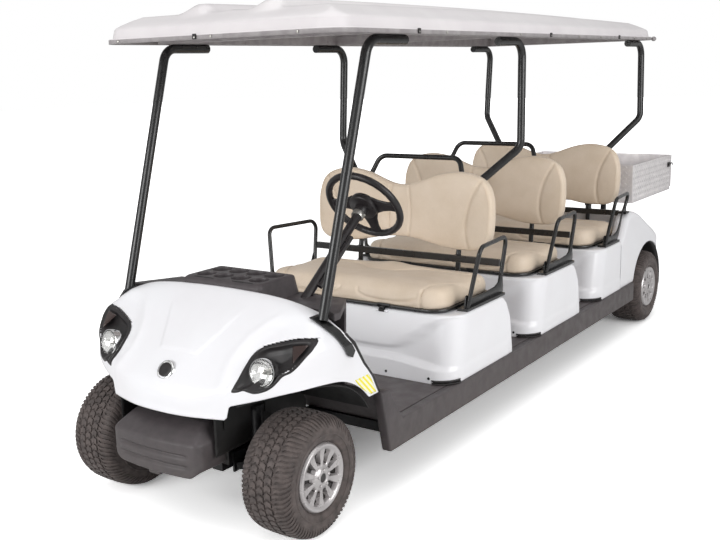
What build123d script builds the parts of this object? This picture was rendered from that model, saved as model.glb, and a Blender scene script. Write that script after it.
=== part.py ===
from build123d import *
import os

os.makedirs("parts", exist_ok=True)

# Six-seat golf cart with a rear cargo box.  Millimetres.  X to the cart's left, Y to the rear, Z up.
# Pieces are modelled with the front axle at y = 0, and moved once at the end so that the origin
# lies on the ground under the middle of the cart.

# ---- overall ----
FRONT_OVERHANG = 310
FIRST_ROW_Y = 865           # front of the first seat pod at the floor
ROW_PITCH = 838
LAST_ROW_TO_AXLE = 905
REAR_OVERHANG = 754
ROW_Y = [FIRST_ROW_Y + i * ROW_PITCH for i in range(3)]
REAR_AXLE_Y = ROW_Y[2] + LAST_ROW_TO_AXLE
BODY_HALF = 575             # half width of cowl, pods and fenders
FLOOR_Z = 313               # top of the floor

# ---- wheels ----
TYRE_R = 228.5
TYRE_HALF = 108
BEAD_R = 101.6
RIM_HALF = 89
RIM_FLANGE_R = 114
RIM_BORE_R = 96             # inside of the rim barrel
RIM_GAP = 0.3
COVER_R = 127
BOSS_DEPTH = 15             # the rim's boss starts this far inside the wheel's middle
SPINDLE_R = 15
AXLE_Z = TYRE_R
FRONT_HALF_TRACK = 440
REAR_HALF_TRACK = 485
KINGPIN_X = 312
ARM_REACH = 115             # kingpin to tie rod pin
PIN_R = 10
RUN_GAP = 0.05              # radial running clearance
HUB_BORE_R = SPINDLE_R + RUN_GAP

# ---- frame ----
RAIL_X = 175
RAIL_W = 50
RAIL_H = 60
RAIL_TOP = FLOOR_Z - 21
RAIL_KICK = 90              # the rails rise over the rear axle
RAIL_FRONT_Y = -150
RAIL_REAR_Y = REAR_AXLE_Y + 254
FLOOR_T = 20
SEAM = 0.3                  # gap where formed panels meet

# ---- cowl ----
SHELL = 4
COWL_LIP_Z = 455
ARCH_R = 318
ARCH_Z = 245
ARCH_IN_X = 240

# ---- seats, measured from the front of each pod ----
POD_DEPTH = 620
POD_TOP = 600
POD_LEAN = 65
POD_CORNER = 110
CUSHION_HALF = 495
CUSHION_FRONT = 72
CUSHION_REAR = 545
CUSHION_T = 112
CUSHION_EDGE_R = 45
LID_AXIS = (50, 592)        # y behind the pod's front, z
BACK_HALF = 503
BACK_T = 80
BAR_Y = 559
BAR_Z = 747
UPRIGHT_X = 285
FRAME_R = 12.5              # seat frame tube

# ---- roof ----
ROOF_HALF = 592
ROOF_FRONT_Y = 112
ROOF_REAR_Y = REAR_AXLE_Y - 40
ROOF_RIM_Z = 1768
ROOF_RIM_H = 46
ROOF_T = 6
STRUT_R = 19
STRUT_TOP_X = 510
STRUT_TOP_Z = 1750
STRUT_TAIL = 250            # bolted length along the roof
ROOF_BAR_W = 40
ROOF_BAR_H = 38

# ---- rear ----
BOX_HALF = 480
BOX_FRONT_Y = REAR_AXLE_Y - 56
BOX_Z = 765
BOX_H = 240
BOX_WALL = 4
GATE_T = 22
GATE_GAP = 6
REAR_ARCH_R = 275
REAR_ARCH_IN_X = 345
DECK_Z = 750

HOME = Pos(0, -(REAR_AXLE_Y + REAR_OVERHANG - FRONT_OVERHANG) / 2, 0)


def save(name, *solids):
    """Write one node, moved to the cart's own origin."""
    export_step(HOME * Compound(children=list(solids)), f"parts/{name}.step")


def both(solid):
    """The left piece and its mirror image on the right."""
    return [solid, mirror(solid, about=Plane.YZ)]


def box(x0, x1, y0, y1, z0, z1):
    return Pos((x0 + x1) / 2, (y0 + y1) / 2, (z0 + z1) / 2) * Box(x1 - x0, y1 - y0, z1 - z0)


def rod(start, end, radius):
    """Round bar between two points."""
    line = Vector(*end) - Vector(*start)
    return Plane(origin=start, z_dir=line) * Cylinder(
        radius, line.length, align=(Align.CENTER, Align.CENTER, Align.MIN))


def tube(points, radius, bend):
    """Round bar along straight runs joined by tangent arcs."""
    path = FilletPolyline(*points, radius=bend)
    return sweep(Plane(origin=path @ 0, z_dir=path % 0) * Circle(radius), path=path)


def prism_x(points, x0, x1):
    """Outline of (y, z) points, solid between two x places."""
    face = make_face(Plane.YZ * Polyline(*points, close=True))
    return Pos(x0, 0, 0) * extrude(face, x1 - x0, dir=(1, 0, 0))


def prism_z(points, z0, z1):
    """Outline of (x, y) points, solid between two heights."""
    return Pos(0, 0, z0) * extrude(make_face(Polyline(*points, close=True)), z1 - z0)


def plate_outline(half, y0, y1, front_r, rear_r):
    """Flat outline with rounded corners, wide half each side of the middle."""
    face = make_face(Polyline((-half, y0), (half, y0), (half, y1), (-half, y1), close=True))
    corners = face.vertices().sort_by(Axis.Y)
    face = fillet(corners[:2], front_r)
    corners = [v for v in face.vertices() if v.Y > y1 - 0.01]
    return fillet(corners, rear_r)


# ---- wheels ----

def tyre():
    """Low-pressure tyre on the X axis, open between its beads."""
    section = make_face(Plane.XY * Polyline(
        (RIM_HALF - 5 - RIM_GAP, BEAD_R + RIM_GAP), (RIM_HALF - 5 - RIM_GAP, RIM_FLANGE_R + 6),
        (TYRE_HALF, 160), (TYRE_HALF - 6, TYRE_R - 16), (TYRE_HALF - 24, TYRE_R),
        (24 - TYRE_HALF, TYRE_R), (6 - TYRE_HALF, TYRE_R - 16), (-TYRE_HALF, 160),
        (RIM_GAP + 5 - RIM_HALF, RIM_FLANGE_R + 6), (RIM_GAP + 5 - RIM_HALF, BEAD_R + RIM_GAP),
        (20 - RIM_HALF, BEAD_R + RIM_GAP), (20 - RIM_HALF, RIM_FLANGE_R + 2),
        (12 - TYRE_HALF, 160), (18 - TYRE_HALF, TYRE_R - 14), (TYRE_HALF - 18, TYRE_R - 14),
        (TYRE_HALF - 12, 160), (RIM_HALF - 20, RIM_FLANGE_R + 2), (RIM_HALF - 20, BEAD_R + RIM_GAP),
        close=True))
    return revolve(section, Axis.X)


def rim():
    """Steel rim with its hub, the outer side towards +X."""
    disc, boss = 31, -BOSS_DEPTH
    section = make_face(Plane.XY * Polyline(
        (-RIM_HALF, RIM_FLANGE_R), (5 - RIM_HALF, RIM_FLANGE_R), (5 - RIM_HALF, BEAD_R),
        (RIM_HALF - 5, BEAD_R), (RIM_HALF - 5, RIM_FLANGE_R), (RIM_HALF, RIM_FLANGE_R),
        (RIM_HALF, RIM_BORE_R), (disc, RIM_BORE_R), (disc, HUB_BORE_R), (boss, HUB_BORE_R),
        (boss, 45), (disc - 6, 45), (disc - 6, RIM_BORE_R), (-RIM_HALF, RIM_BORE_R), close=True))
    return revolve(section, Axis.X)


def wheel_cover():
    """Dished cover snapped on the rim's outer flange."""
    face = RIM_HALF + RIM_GAP
    section = make_face(Plane.XY * Polyline(
        (face, 101), (face, RIM_FLANGE_R - 1), (face + 1.5, COVER_R), (face + 6, COVER_R - 1),
        (face + 11, 112), (face + 16, 60), (face + 21, 35), (face + 21, 0), (face + 17, 0),
        (face + 17, 33), (face + 12, 60), (face + 7, 101), close=True))
    return revolve(section, Axis.X)


def wheels():
    # corner, half track, y
    corners = [("front", FRONT_HALF_TRACK, 0), ("rear", REAR_HALF_TRACK, REAR_AXLE_Y)]
    rubber, metal, cover = tyre(), rim(), wheel_cover()
    for corner, track, y in corners:
        place = Pos(track, y, AXLE_Z)
        for side, number in (("left", 0), ("right", 1)):
            save(f"tyre_{corner}_{side}", both(place * rubber)[number])
            save(f"rim_{corner}_{side}", both(place * metal)[number], both(place * cover)[number])


# ---- front suspension and steering ----

SLEEVE_R = 20
SLEEVE_H = 80
LUG_T = 12
LUG_GAP = 1
SHOCK_X = 240
SHOCK_R = 24
TOWER_Z = 436
ARM_T = 28
ARM_HEEL = 90               # half width of the suspension arm at the rail
SPINDLE_SHOULDER_R = 22
SPINDLE_END = 41            # spindle tip beyond the wheel's middle
STEER_ARM_T = 14
TIE_ROD_R = 7
TIE_EYE_R = 14
TIE_EYE_H = 16
ARM_Z = AXLE_Z - 32
TIE_Z = ARM_Z - 9
TIE_PIN_R = 6
TIE_OPEN_GAP = 0.5          # the right-hand eye closes the linkage, so it runs loose


def front_arm():
    """Left suspension arm: bracket on the rail, arm, yoke with its kingpin, and coil unit."""
    rail_out = RAIL_X + RAIL_W / 2
    web_in = SHOCK_X + SHOCK_R - 6
    lug_low = AXLE_Z - SLEEVE_H / 2 - LUG_GAP
    lug_high = AXLE_Z + SLEEVE_H / 2 + LUG_GAP
    bracket = box(rail_out, rail_out + 8, -ARM_HEEL - 5, ARM_HEEL + 5, AXLE_Z - 18, RAIL_TOP - 6)
    arm = prism_z([(rail_out, -ARM_HEEL), (rail_out, ARM_HEEL), (web_in + 6, 22), (web_in + 6, -22)],
                  AXLE_Z - ARM_T / 2, AXLE_Z + ARM_T / 2)
    web = box(web_in, web_in + 14, -SLEEVE_R, SLEEVE_R, lug_low - LUG_T, lug_high + LUG_T)
    yoke = arm + bracket + web
    for z in (lug_low - LUG_T, lug_high):
        yoke += box(web_in, KINGPIN_X, -SLEEVE_R, SLEEVE_R, z, z + LUG_T)
        yoke += Pos(KINGPIN_X, 0, z + LUG_T / 2) * Cylinder(SLEEVE_R, LUG_T)
    yoke += rod((KINGPIN_X, 0, lug_low - LUG_T), (KINGPIN_X, 0, lug_high + LUG_T), PIN_R)
    return yoke + rod((SHOCK_X, 0, AXLE_Z), (SHOCK_X, 0, TOWER_Z), SHOCK_R)


def knuckle():
    """Left steering knuckle: sleeve on the kingpin, spindle and steering arm."""
    boss_in = FRONT_HALF_TRACK - BOSS_DEPTH
    arm_mid = ARM_Z + STEER_ARM_T / 2
    body = Pos(KINGPIN_X, 0, AXLE_Z) * Cylinder(SLEEVE_R, SLEEVE_H)
    body += rod((KINGPIN_X, 0, AXLE_Z), (boss_in - 1, 0, AXLE_Z), SPINDLE_SHOULDER_R)
    body += rod((KINGPIN_X, 0, AXLE_Z), (FRONT_HALF_TRACK + SPINDLE_END, 0, AXLE_Z), SPINDLE_R)
    body += box(KINGPIN_X - 10, KINGPIN_X + 10, 0, ARM_REACH, ARM_Z, ARM_Z + STEER_ARM_T)
    body += Pos(KINGPIN_X, ARM_REACH, arm_mid) * Cylinder(12, STEER_ARM_T)
    body += rod((KINGPIN_X, ARM_REACH, TIE_Z - 9), (KINGPIN_X, ARM_REACH, arm_mid), TIE_PIN_R)
    return body - rod((KINGPIN_X, 0, AXLE_Z - 60), (KINGPIN_X, 0, AXLE_Z + 60), PIN_R + RUN_GAP)


def tie_rod():
    """Rod between the two steering arms, an eye at each end."""
    body = rod((-KINGPIN_X, ARM_REACH, TIE_Z), (KINGPIN_X, ARM_REACH, TIE_Z), TIE_ROD_R)
    for x in (KINGPIN_X, -KINGPIN_X):
        body += Pos(x, ARM_REACH, TIE_Z) * Cylinder(TIE_EYE_R, TIE_EYE_H)
    for x, gap in ((KINGPIN_X, RUN_GAP), (-KINGPIN_X, TIE_OPEN_GAP)):
        body -= Pos(x, ARM_REACH, TIE_Z) * Cylinder(TIE_PIN_R + gap, 20)
    return body


# ---- steering wheel and column ----

COLUMN_X = 270
COLUMN_FOOT = (COLUMN_X, 215, 741)
COLUMN_SLOPE = Vector(0, 418, 307).normalized()
COLUMN_R = 19
COLUMN_FIT = 0.5
SHAFT_R = 9
WHEEL_AT = 603              # column foot to steering wheel along the column
WHEEL_R = 162
WHEEL_TUBE_R = 14


def along_column(distance):
    return tuple(Vector(*COLUMN_FOOT) + COLUMN_SLOPE * distance)


def steering_column():
    """Tube and the brace that runs beside it, bored at the top for the shaft."""
    top = WHEEL_AT - 40
    tube_body = rod(along_column(0), along_column(top), COLUMN_R)
    brace_shift = Vector(34, 0, 0)
    brace = rod(tuple(Vector(*along_column(150)) + brace_shift),
                tuple(Vector(*along_column(420)) + brace_shift), 10)
    for at in (165, 400):
        brace += rod(along_column(at), tuple(Vector(*along_column(at)) + brace_shift), 8)
    tube_body = tube_body + brace
    return tube_body - rod(along_column(top - 120), along_column(top + 1), SHAFT_R + RUN_GAP)


def steering_wheel():
    """Rim, three spokes, hub and the shaft that turns in the column."""
    plane = Plane(origin=along_column(WHEEL_AT), x_dir=(1, 0, 0), z_dir=tuple(COLUMN_SLOPE))
    ring = Torus(WHEEL_R, WHEEL_TUBE_R)
    hub = Cylinder(58, 34)
    spokes = [Rot(0, 0, angle) * Pos(WHEEL_R / 2, 0, 0) * Box(WHEEL_R, 46, 14)
              for angle in (0, 90, 180)]
    body = hub + spokes + ring
    body += Pos(0, 0, -28) * Cylinder(27, 24)
    return plane * body + rod(along_column(WHEEL_AT - 155), along_column(WHEEL_AT - 5), SHAFT_R)


# ---- frame ----

RAIL_LOW = RAIL_TOP - RAIL_H
KICK_START = REAR_AXLE_Y - 330
KICK_END = REAR_AXLE_Y - 190


def frame_rails():
    outline = [(RAIL_FRONT_Y, RAIL_LOW), (KICK_START, RAIL_LOW), (KICK_END, RAIL_LOW + RAIL_KICK),
               (RAIL_REAR_Y, RAIL_LOW + RAIL_KICK), (RAIL_REAR_Y, RAIL_TOP + RAIL_KICK),
               (KICK_END, RAIL_TOP + RAIL_KICK), (KICK_START, RAIL_TOP), (RAIL_FRONT_Y, RAIL_TOP)]
    return both(prism_x(outline, RAIL_X - RAIL_W / 2, RAIL_X + RAIL_W / 2))


def cross_members():
    """Bars between the rails, outriggers to the rockers, and the front coil tower."""
    inner, outer = RAIL_X - RAIL_W / 2, RAIL_X + RAIL_W / 2
    pieces = []
    for y in (-110, ROW_Y[0] + 300, ROW_Y[1] + 300, ROW_Y[2] + 200):
        pieces.append(box(-inner, inner, y - 20, y + 20, RAIL_TOP - 50, RAIL_TOP - 10))
    lift = RAIL_KICK
    for y in (KICK_END + 60, RAIL_REAR_Y - 40):
        pieces.append(box(-inner, inner, y - 20, y + 20, RAIL_TOP - 50 + lift, RAIL_TOP - 10 + lift))
    for y in (440, ROW_Y[0] + 300, ROW_Y[1] + 300, ROW_Y[2] + 200):
        pieces += both(box(outer, ROCKER_IN_X, y - 20, y + 20, RAIL_TOP - 40, RAIL_TOP))
    y = ROW_Y[2] + UPRIGHT_FOOT_Y
    pieces += both(box(outer, UPRIGHT_X + 20, y - 20, y + 5, RAIL_TOP - 40, RAIL_TOP))
    tower = box(-SHOCK_X - SHOCK_R, SHOCK_X + SHOCK_R, -22, 22, TOWER_Z, TOWER_Z + 14)
    for x in (-RAIL_X, RAIL_X):
        tower += box(x - 20, x + 20, -22, 22, RAIL_TOP, TOWER_Z)
    pieces.append(tower)
    return pieces


# ---- floor and rockers ----

ROCKER_OUT_X = 588
ROCKER_IN_X = 545
ROCKER_LOW = 200
ROCKER_FRONT_Y = 345
TOE_Y = 430                 # where the floor turns up towards the dash
TOE_TOP = (300, 470)        # y, z of the toe board's top
ROCKER_REAR_Y = REAR_AXLE_Y - REAR_ARCH_R - 12


def floor_pan():
    """Floor with its toe board, one bent sheet."""
    rear = ROW_Y[2] + 60
    low = FLOOR_Z - FLOOR_T
    outline = [(TOE_Y, low), (rear, low), (rear, FLOOR_Z), (TOE_Y + 8, FLOOR_Z),
               (TOE_TOP[0] + 14, TOE_TOP[1]), (TOE_TOP[0], TOE_TOP[1]), (TOE_Y - 6, low + 8)]
    return prism_x(outline, 1 - ROCKER_IN_X, ROCKER_IN_X - 1)


def rockers():
    """Dark side panels, turned up in front behind the wheel arch."""
    outline = [(ROCKER_FRONT_Y + 30, ROCKER_LOW), (ROCKER_REAR_Y, ROCKER_LOW),
               (ROCKER_REAR_Y, FLOOR_Z - SEAM), (ROCKER_FRONT_Y + 120, FLOOR_Z - SEAM),
               (ROCKER_FRONT_Y + 30, COWL_LIP_Z - SEAM), (ROCKER_FRONT_Y - 25, COWL_LIP_Z - SEAM)]
    return both(prism_x(outline, ROCKER_IN_X, ROCKER_OUT_X))


# ---- cowl ----

HOOD_REAR = (100, 855)      # y, z of the hood's rear edge at the middle


def cowl_block(inset, open_by=0):
    """Solid inside the cowl's outer surface moved in by inset: side, plan and front outlines meet."""
    low = COWL_LIP_Z - open_by
    side = make_face(Plane.YZ * Polyline(
        (-255, low), (-250, 500), (-206, 600), (-150, 655), (36, 796), HOOD_REAR,
        (148 + open_by, 715), (224 + open_by, 598), (278 + open_by, 533), (319 + open_by, COWL_LIP_Z),
        (319 + open_by, low - 1), close=True))
    nose = ThreePointArc((-248, -215), (0, -255), (248, -215))
    fender = [(248, -215), (400, -125), (520, 0), (BODY_HALF, 110), (BODY_HALF, 330 + open_by),
              (-BODY_HALF, 330 + open_by), (-BODY_HALF, 110), (-520, 0), (-400, -125), (-248, -215)]
    plan = make_face(nose + Polyline(*fender))
    crown = ThreePointArc((-370, 825), (0, 857), (370, 825))
    shoulder = [(370, 825), (480, 788), (545, 740), (BODY_HALF, 690), (BODY_HALF, low - 1),
                (-BODY_HALF, low - 1), (-BODY_HALF, 690), (-545, 740), (-480, 788), (-370, 825)]
    front = make_face(Plane.XZ * (crown + Polyline(*shoulder)))
    if inset:
        side = offset(side, -inset, kind=Kind.INTERSECTION)
        plan = offset(plan, -inset, kind=Kind.INTERSECTION)
        front = offset(front, -inset, kind=Kind.INTERSECTION)
    block = Pos(-700, 0, 0) * extrude(side, 1400, dir=(1, 0, 0))
    block &= extrude(plan, 1000, dir=(0, 0, 1))
    return block & (Pos(0, 600, 0) * extrude(front, 1200, dir=(0, -1, 0)))


def wheel_space(radius, inner_x):
    """Cylinders that clear the front wheels."""
    drum = Pos((inner_x + 700) / 2, 0, ARCH_Z) * Rot(0, 90, 0) * Cylinder(radius, 700 - inner_x)
    return both(drum)


def front_cowl():
    shell = cowl_block(0) - cowl_block(SHELL, 60)
    for drum in wheel_space(ARCH_R, ARCH_IN_X):
        shell -= drum
    return shell


def wheel_liners():
    """Inner wheel housings under the cowl: a curved sheet and its inner wall."""
    liners = []
    for outer, inner in zip(wheel_space(ARCH_R - SEAM, ARCH_IN_X + 4),
                            wheel_space(ARCH_R - SEAM - SHELL, ARCH_IN_X + 8)):
        liners.append(outer - inner)
    keep = box(-560, 560, -175, ROCKER_FRONT_Y - 30, ARCH_Z + 165, 700)
    keep -= box(-300, 300, -45, 45, 0, TOWER_Z + 30)
    inside = cowl_block(1, 60)
    return [(liner & keep) & inside for liner in liners]


def skin(depth_in, depth_out):
    """Layer lying on the cowl, between two heights above its surface."""
    return cowl_block(-depth_out) - cowl_block(-depth_in)


BEZEL_T = 5
# x, z of the headlight bezel's outline, seen from the front
BEZEL_OUTLINE = [(293, 561), (300, 640), (345, 692), (420, 722), (501, 729), (470, 680), (440, 632),
                 (408, 590), (372, 568), (335, 563)]
LAMP_R = 47
LAMP_AT = (384, -120, 638)
LAMP_AIM = Vector(0.42, -0.85, 0.3)


def headlight_bezel():
    face = make_face(Plane.XZ * Polyline(*BEZEL_OUTLINE, close=True))
    prism = Pos(0, 90, 0) * extrude(face, 400, dir=(0, -1, 0))
    return skin(SEAM, BEZEL_T) & prism


def headlamp():
    back = Vector(*LAMP_AT) - LAMP_AIM.normalized() * 30
    front = Vector(*LAMP_AT) + LAMP_AIM.normalized() * 12
    lamp = rod(tuple(back), tuple(front), LAMP_R) - cowl_block(-BEZEL_T - SEAM)
    return lamp.solids().sort_by(SortBy.VOLUME)[-1]


def cowl_trim():
    """Black edging behind the cowl's rear edge, down to the rocker."""
    gap, width = SEAM, 16
    edge = [(126, 780), (148, 715), (224, 598), (278, 533), (319, COWL_LIP_Z)]
    outline = [(y + gap, z) for y, z in edge] + [(y + width, z) for y, z in reversed(edge)]
    return both(prism_x(outline, BODY_HALF - 24, BODY_HALF - 2) & cowl_limit())


def cowl_limit():
    """Keeps the edging under the cowl's shoulder line."""
    return cowl_block(2, 60)


# ---- bumpers ----

BUMPER_LOW = 250
BUMPER_TOP = 432


def front_bumper():
    face = ThreePointArc((-185, 22 - FRONT_OVERHANG), (0, -FRONT_OVERHANG), (185, 22 - FRONT_OVERHANG))
    sides = Polyline((185, 22 - FRONT_OVERHANG), (215, -205), (215, RAIL_FRONT_Y),
                     (-215, RAIL_FRONT_Y), (-215, -205), (-185, 22 - FRONT_OVERHANG))
    body = Pos(0, 0, BUMPER_LOW) * extrude(make_face(face + sides), BUMPER_TOP - BUMPER_LOW)
    slope = prism_x([(-330, BUMPER_LOW - 1), (RAIL_FRONT_Y + 1, BUMPER_LOW - 1),
                     (RAIL_FRONT_Y + 1, BUMPER_TOP), (-205, BUMPER_TOP), (-285, 408), (-330, 390)],
                    -250, 250)
    return body & slope


REAR_BUMPER_LOW = 268
REAR_BUMPER_H = 108


def rear_bumper():
    y0 = RAIL_REAR_Y
    return plate_bar(540, y0 + SEAM, y0 + 95, REAR_BUMPER_LOW, REAR_BUMPER_LOW + REAR_BUMPER_H, 60)


def plate_bar(half, y0, y1, z0, z1, corner):
    """Bar across the cart with rounded rear corners."""
    return Pos(0, 0, z0) * extrude(plate_outline(half, y0, y1, 2, corner), z1 - z0)


# ---- seat pods and rear body ----

POD_REAR_R = 20
HOLE_GAP = 2


def pod_walls(y0, depth, top_z, inset, open_by, rear_r):
    """Tapered block with rounded corners: the front leans back, the floor edge is longest."""
    lean = POD_LEAN * (top_z - FLOOR_Z) / (POD_TOP - FLOOR_Z)
    half = BODY_HALF - inset
    low = plate_outline(half, y0 + inset, y0 + depth - inset, POD_CORNER - inset, rear_r - inset)
    high = plate_outline(half, y0 + lean + inset, y0 + depth - inset, POD_CORNER - inset, rear_r - inset)
    low_z = FLOOR_Z
    walls = loft([Pos(0, 0, low_z) * low, Pos(0, 0, top_z) * high], ruled=True)
    if open_by:
        walls += Pos(0, 0, low_z - open_by) * extrude(low, open_by)
    return walls


def pod_profile(y0, inset):
    """Side outline that cuts the pod's top and its sloping rear edge."""
    top = POD_TOP - inset
    rear = y0 + POD_DEPTH - inset
    return prism_x([(y0 - 50, FLOOR_Z - 100), (y0 - 50, top), (y0 + 512 - inset, top),
                    (y0 + 560 - inset, 560 - inset), (y0 + 596 - inset, 490), (rear, 340),
                    (rear, FLOOR_Z - 100)], -600, 600)


LID_OPENING = (120, 470, 430)   # front and rear edge behind the pod's front, half width


def lid_hole(y0):
    front, rear, half = LID_OPENING
    return box(-half, half, y0 + front, y0 + rear, POD_TOP - 60, POD_TOP + 60)


UPRIGHT_FOOT_Y = 568
FOOT_GAP = 1.2              # the leaning tube's cut end just clears what it stands on
UPRIGHT_BAR_Y = 606         # where the uprights pass behind the cross bar


def upright_line(y0, side):
    """Straight lower run of a seat upright, from the floor or from its outrigger."""
    foot_z = (FLOOR_Z if y0 < ROW_Y[2] else RAIL_TOP) + FOOT_GAP
    x = side * UPRIGHT_X
    return (x, y0 + UPRIGHT_FOOT_Y, foot_z), (x, y0 + UPRIGHT_BAR_Y, BAR_Z)


def upright_holes(y0):
    return [rod(*upright_line(y0, side), FRAME_R + HOLE_GAP) for side in (-1, 1)]


def seat_pod(y0):
    outer = pod_walls(y0, POD_DEPTH, POD_TOP + 5, 0, 0, POD_REAR_R) & pod_profile(y0, 0)
    inner = pod_walls(y0, POD_DEPTH, POD_TOP + 5, SHELL, 20, POD_REAR_R) & pod_profile(y0, SHELL)
    shell = outer - inner - lid_hole(y0)
    for hole in upright_holes(y0):
        shell -= hole
    for lug in lid_lugs(y0):
        shell += lug
    return shell


LID_PIN_R = 3
LID_EYE_R = 7
LID_HINGE_X = (-200, 200)
LID_EYE_HALF = 14           # half length of the lid's eye along the pin
LID_LUG = 12                # length of each lug beside it
LID_SIDE_GAP = 2
LID_LIFT = 5                # thickness of the rubber strips


def lid_lugs(y0):
    """Pairs of lugs with their pins on the pod's front face, for the lifting seat."""
    y, z = y0 + LID_AXIS[0], LID_AXIS[1]
    lugs = []
    for x in LID_HINGE_X:
        reach = LID_EYE_HALF + LID_SIDE_GAP + LID_LUG
        lug = rod((x - reach, y, z), (x + reach, y, z), LID_PIN_R)
        for x0 in (x - reach, x + reach - LID_LUG):
            lug += rod((x0, y, z), (x0 + LID_LUG, y, z), LID_EYE_R)
            lug += box(x0, x0 + LID_LUG, y, y + POD_LEAN - LID_AXIS[0], z - LID_EYE_R, z + 2)
        lugs.append(lug)
    return lugs


REAR_END_Y = REAR_AXLE_Y + 250
REAR_CORNER = 80


def rear_profile(inset):
    """Side outline of the rear body: seat ledge, rise behind the seat, deck and sloping tail."""
    y0 = ROW_Y[2]
    top = POD_TOP - inset
    end = REAR_END_Y - inset
    deck = DECK_Z - inset
    return prism_x([(y0 - 50, FLOOR_Z - 100), (y0 - 50, top), (y0 + 420 + inset, top),
                    (y0 + 470 + inset, 655 - inset), (y0 + 500 + inset, deck), (y0 + 660, deck),
                    (REAR_AXLE_Y - 30, 672 - inset), (REAR_AXLE_Y + 170, 570 - inset), (end, 450),
                    (end, FLOOR_Z - 100)], -600, 600)


def rear_wheel_space(radius, inner_x):
    length = 700 - inner_x
    drum = Pos((inner_x + 700) / 2, REAR_AXLE_Y, ARCH_Z) * Rot(0, 90, 0) * Cylinder(radius, length)
    return both(drum)


def rear_block(inset, open_by):
    y0 = ROW_Y[2]
    walls = pod_walls(y0, REAR_END_Y - y0, DECK_Z + 5, inset, open_by, REAR_CORNER)
    return walls & rear_profile(inset)


SEAT_WELL_HALF = 502
SEAT_WELL_REAR = 624


def seat_well(wall):
    """Space for the rear seat between the raised sides, grown by a wall."""
    y0 = ROW_Y[2]
    return box(-SEAT_WELL_HALF - wall, SEAT_WELL_HALF + wall, y0 + 200, y0 + SEAT_WELL_REAR + wall,
               POD_TOP - wall, DECK_Z + 50)


def rear_body():
    y0 = ROW_Y[2]
    inner = rear_block(SHELL, 20) - seat_well(SHELL)
    for drum in rear_wheel_space(REAR_ARCH_R + SHELL, REAR_ARCH_IN_X - SHELL):
        inner -= drum
    shell = rear_block(0, 0) - inner - seat_well(0) - lid_hole(y0)
    for drum in rear_wheel_space(REAR_ARCH_R, REAR_ARCH_IN_X):
        shell -= drum
    for hole in upright_holes(y0) + support_holes():
        shell -= hole
    for lug in lid_lugs(y0):
        shell += lug
    rails = RAIL_X + RAIL_W / 2 + 15
    return shell - box(-rails, rails, REAR_END_Y - 20, REAR_END_Y + 20, 200, RAIL_TOP + RAIL_KICK + 55)


def tail_light():
    """Lens that lies on the rear corner."""
    region = box(430, 600, REAR_AXLE_Y + 60, REAR_END_Y + 20, 520, 640)
    return (rear_block(-6, 0) - rear_block(-SEAM, 0)) & region


# ---- seats ----

def seat_cushion(y0):
    """Lifting seat: a soft block with a rounded front, and the hinge leaves under its front edge."""
    front, rear = y0 + CUSHION_FRONT, y0 + CUSHION_REAR
    base = POD_TOP + LID_LIFT + SEAM
    block = Pos(0, 0, base) * extrude(
        plate_outline(CUSHION_HALF, front, rear, 95, 50), CUSHION_T)
    block = fillet(block.edges().group_by(Axis.Z)[-1], CUSHION_EDGE_R)
    return [block] + [lid_leaf(x, y0, base - SEAM) for x in LID_HINGE_X]


def lid_leaf(x, y0, top):
    """Eye on the hinge pin and its leaf under the cushion."""
    y, z = y0 + LID_AXIS[0], LID_AXIS[1]
    half = LID_EYE_HALF
    leaf = box(x - half, x + half, y - 3, y0 + 140, top - 4, top) + box(
        x - half, x + half, y - 3, y + 3, z, top)
    leaf += rod((x - half, y, z), (x + half, y, z), LID_EYE_R)
    return leaf - rod((x - half - 1, y, z), (x + half + 1, y, z), LID_PIN_R + RUN_GAP)


def lid_pad(y0):
    """Rubber strips on the pod that the closed seat rests on."""
    return both(box(430, 470, y0 + 160, y0 + 460, POD_TOP, POD_TOP + LID_LIFT))


BACK_LEAN = 4
BACK_EDGE_R = 35
# y behind the pod's front and z of the back's lower edge
BACK_FOOT = (552, 785)


def back_place(y0):
    """The back's own plane: y up along it, z out of its front."""
    return Pos(0, y0 + BACK_FOOT[0], BACK_FOOT[1]) * Rot(90 - BACK_LEAN, 0, 0)


def seat_back(y0):
    """Two-hump back, leaning to the rear."""
    hump = 384
    outline = make_face(Polyline(
        (-430, 0), (430, 0), (481, 35), (BACK_HALF, 120), (BACK_HALF, 235), (470, 325), (400, 372),
        (297, hump), (180, 365), (60, 312), (-60, 312), (-180, 365), (-297, hump), (-400, 372),
        (-470, 325), (-BACK_HALF, 235), (-BACK_HALF, 120), (-481, 35), close=True))
    solid = extrude(outline, BACK_T / 2, both=True)
    side = Pos(0, hump / 2, 0) * (Plane.YZ * RectangleRounded(hump, BACK_T, BACK_EDGE_R))
    solid &= Pos(-600, 0, 0) * extrude(side, 1200, dir=(1, 0, 0))
    return back_place(y0) * solid


UPRIGHT_TOP = (726, 1209)   # y behind the pod's front and z of the grab rail
UPRIGHT_JOIN = (669, 1064)  # where the roof strut lands
LOOP_FRONT = (548, 205, 593, 245)     # foot x, foot y, top x, top y
LOOP_REAR = (535, 530, 552, 583)
LOOP_TOP_Z = 878
LOOP_R = 10
BASE_T = 12


def hip_loop(y0, front_z, rear_z):
    """Hip restraint: a bent tube that stands on its base plates."""
    fx, fy, ftx, fty = LOOP_FRONT
    rx, ry, rtx, rty = LOOP_REAR
    path = [(fx, y0 + fy, front_z), (ftx, y0 + fty, LOOP_TOP_Z), (rtx, y0 + rty, LOOP_TOP_Z - 5),
            (rx, y0 + ry, rear_z)]
    return tube(path, LOOP_R, [42, 42])


BACK_BRACKETS = [(50, 28), (230, 51)]     # height up the back, length to the upright


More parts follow.
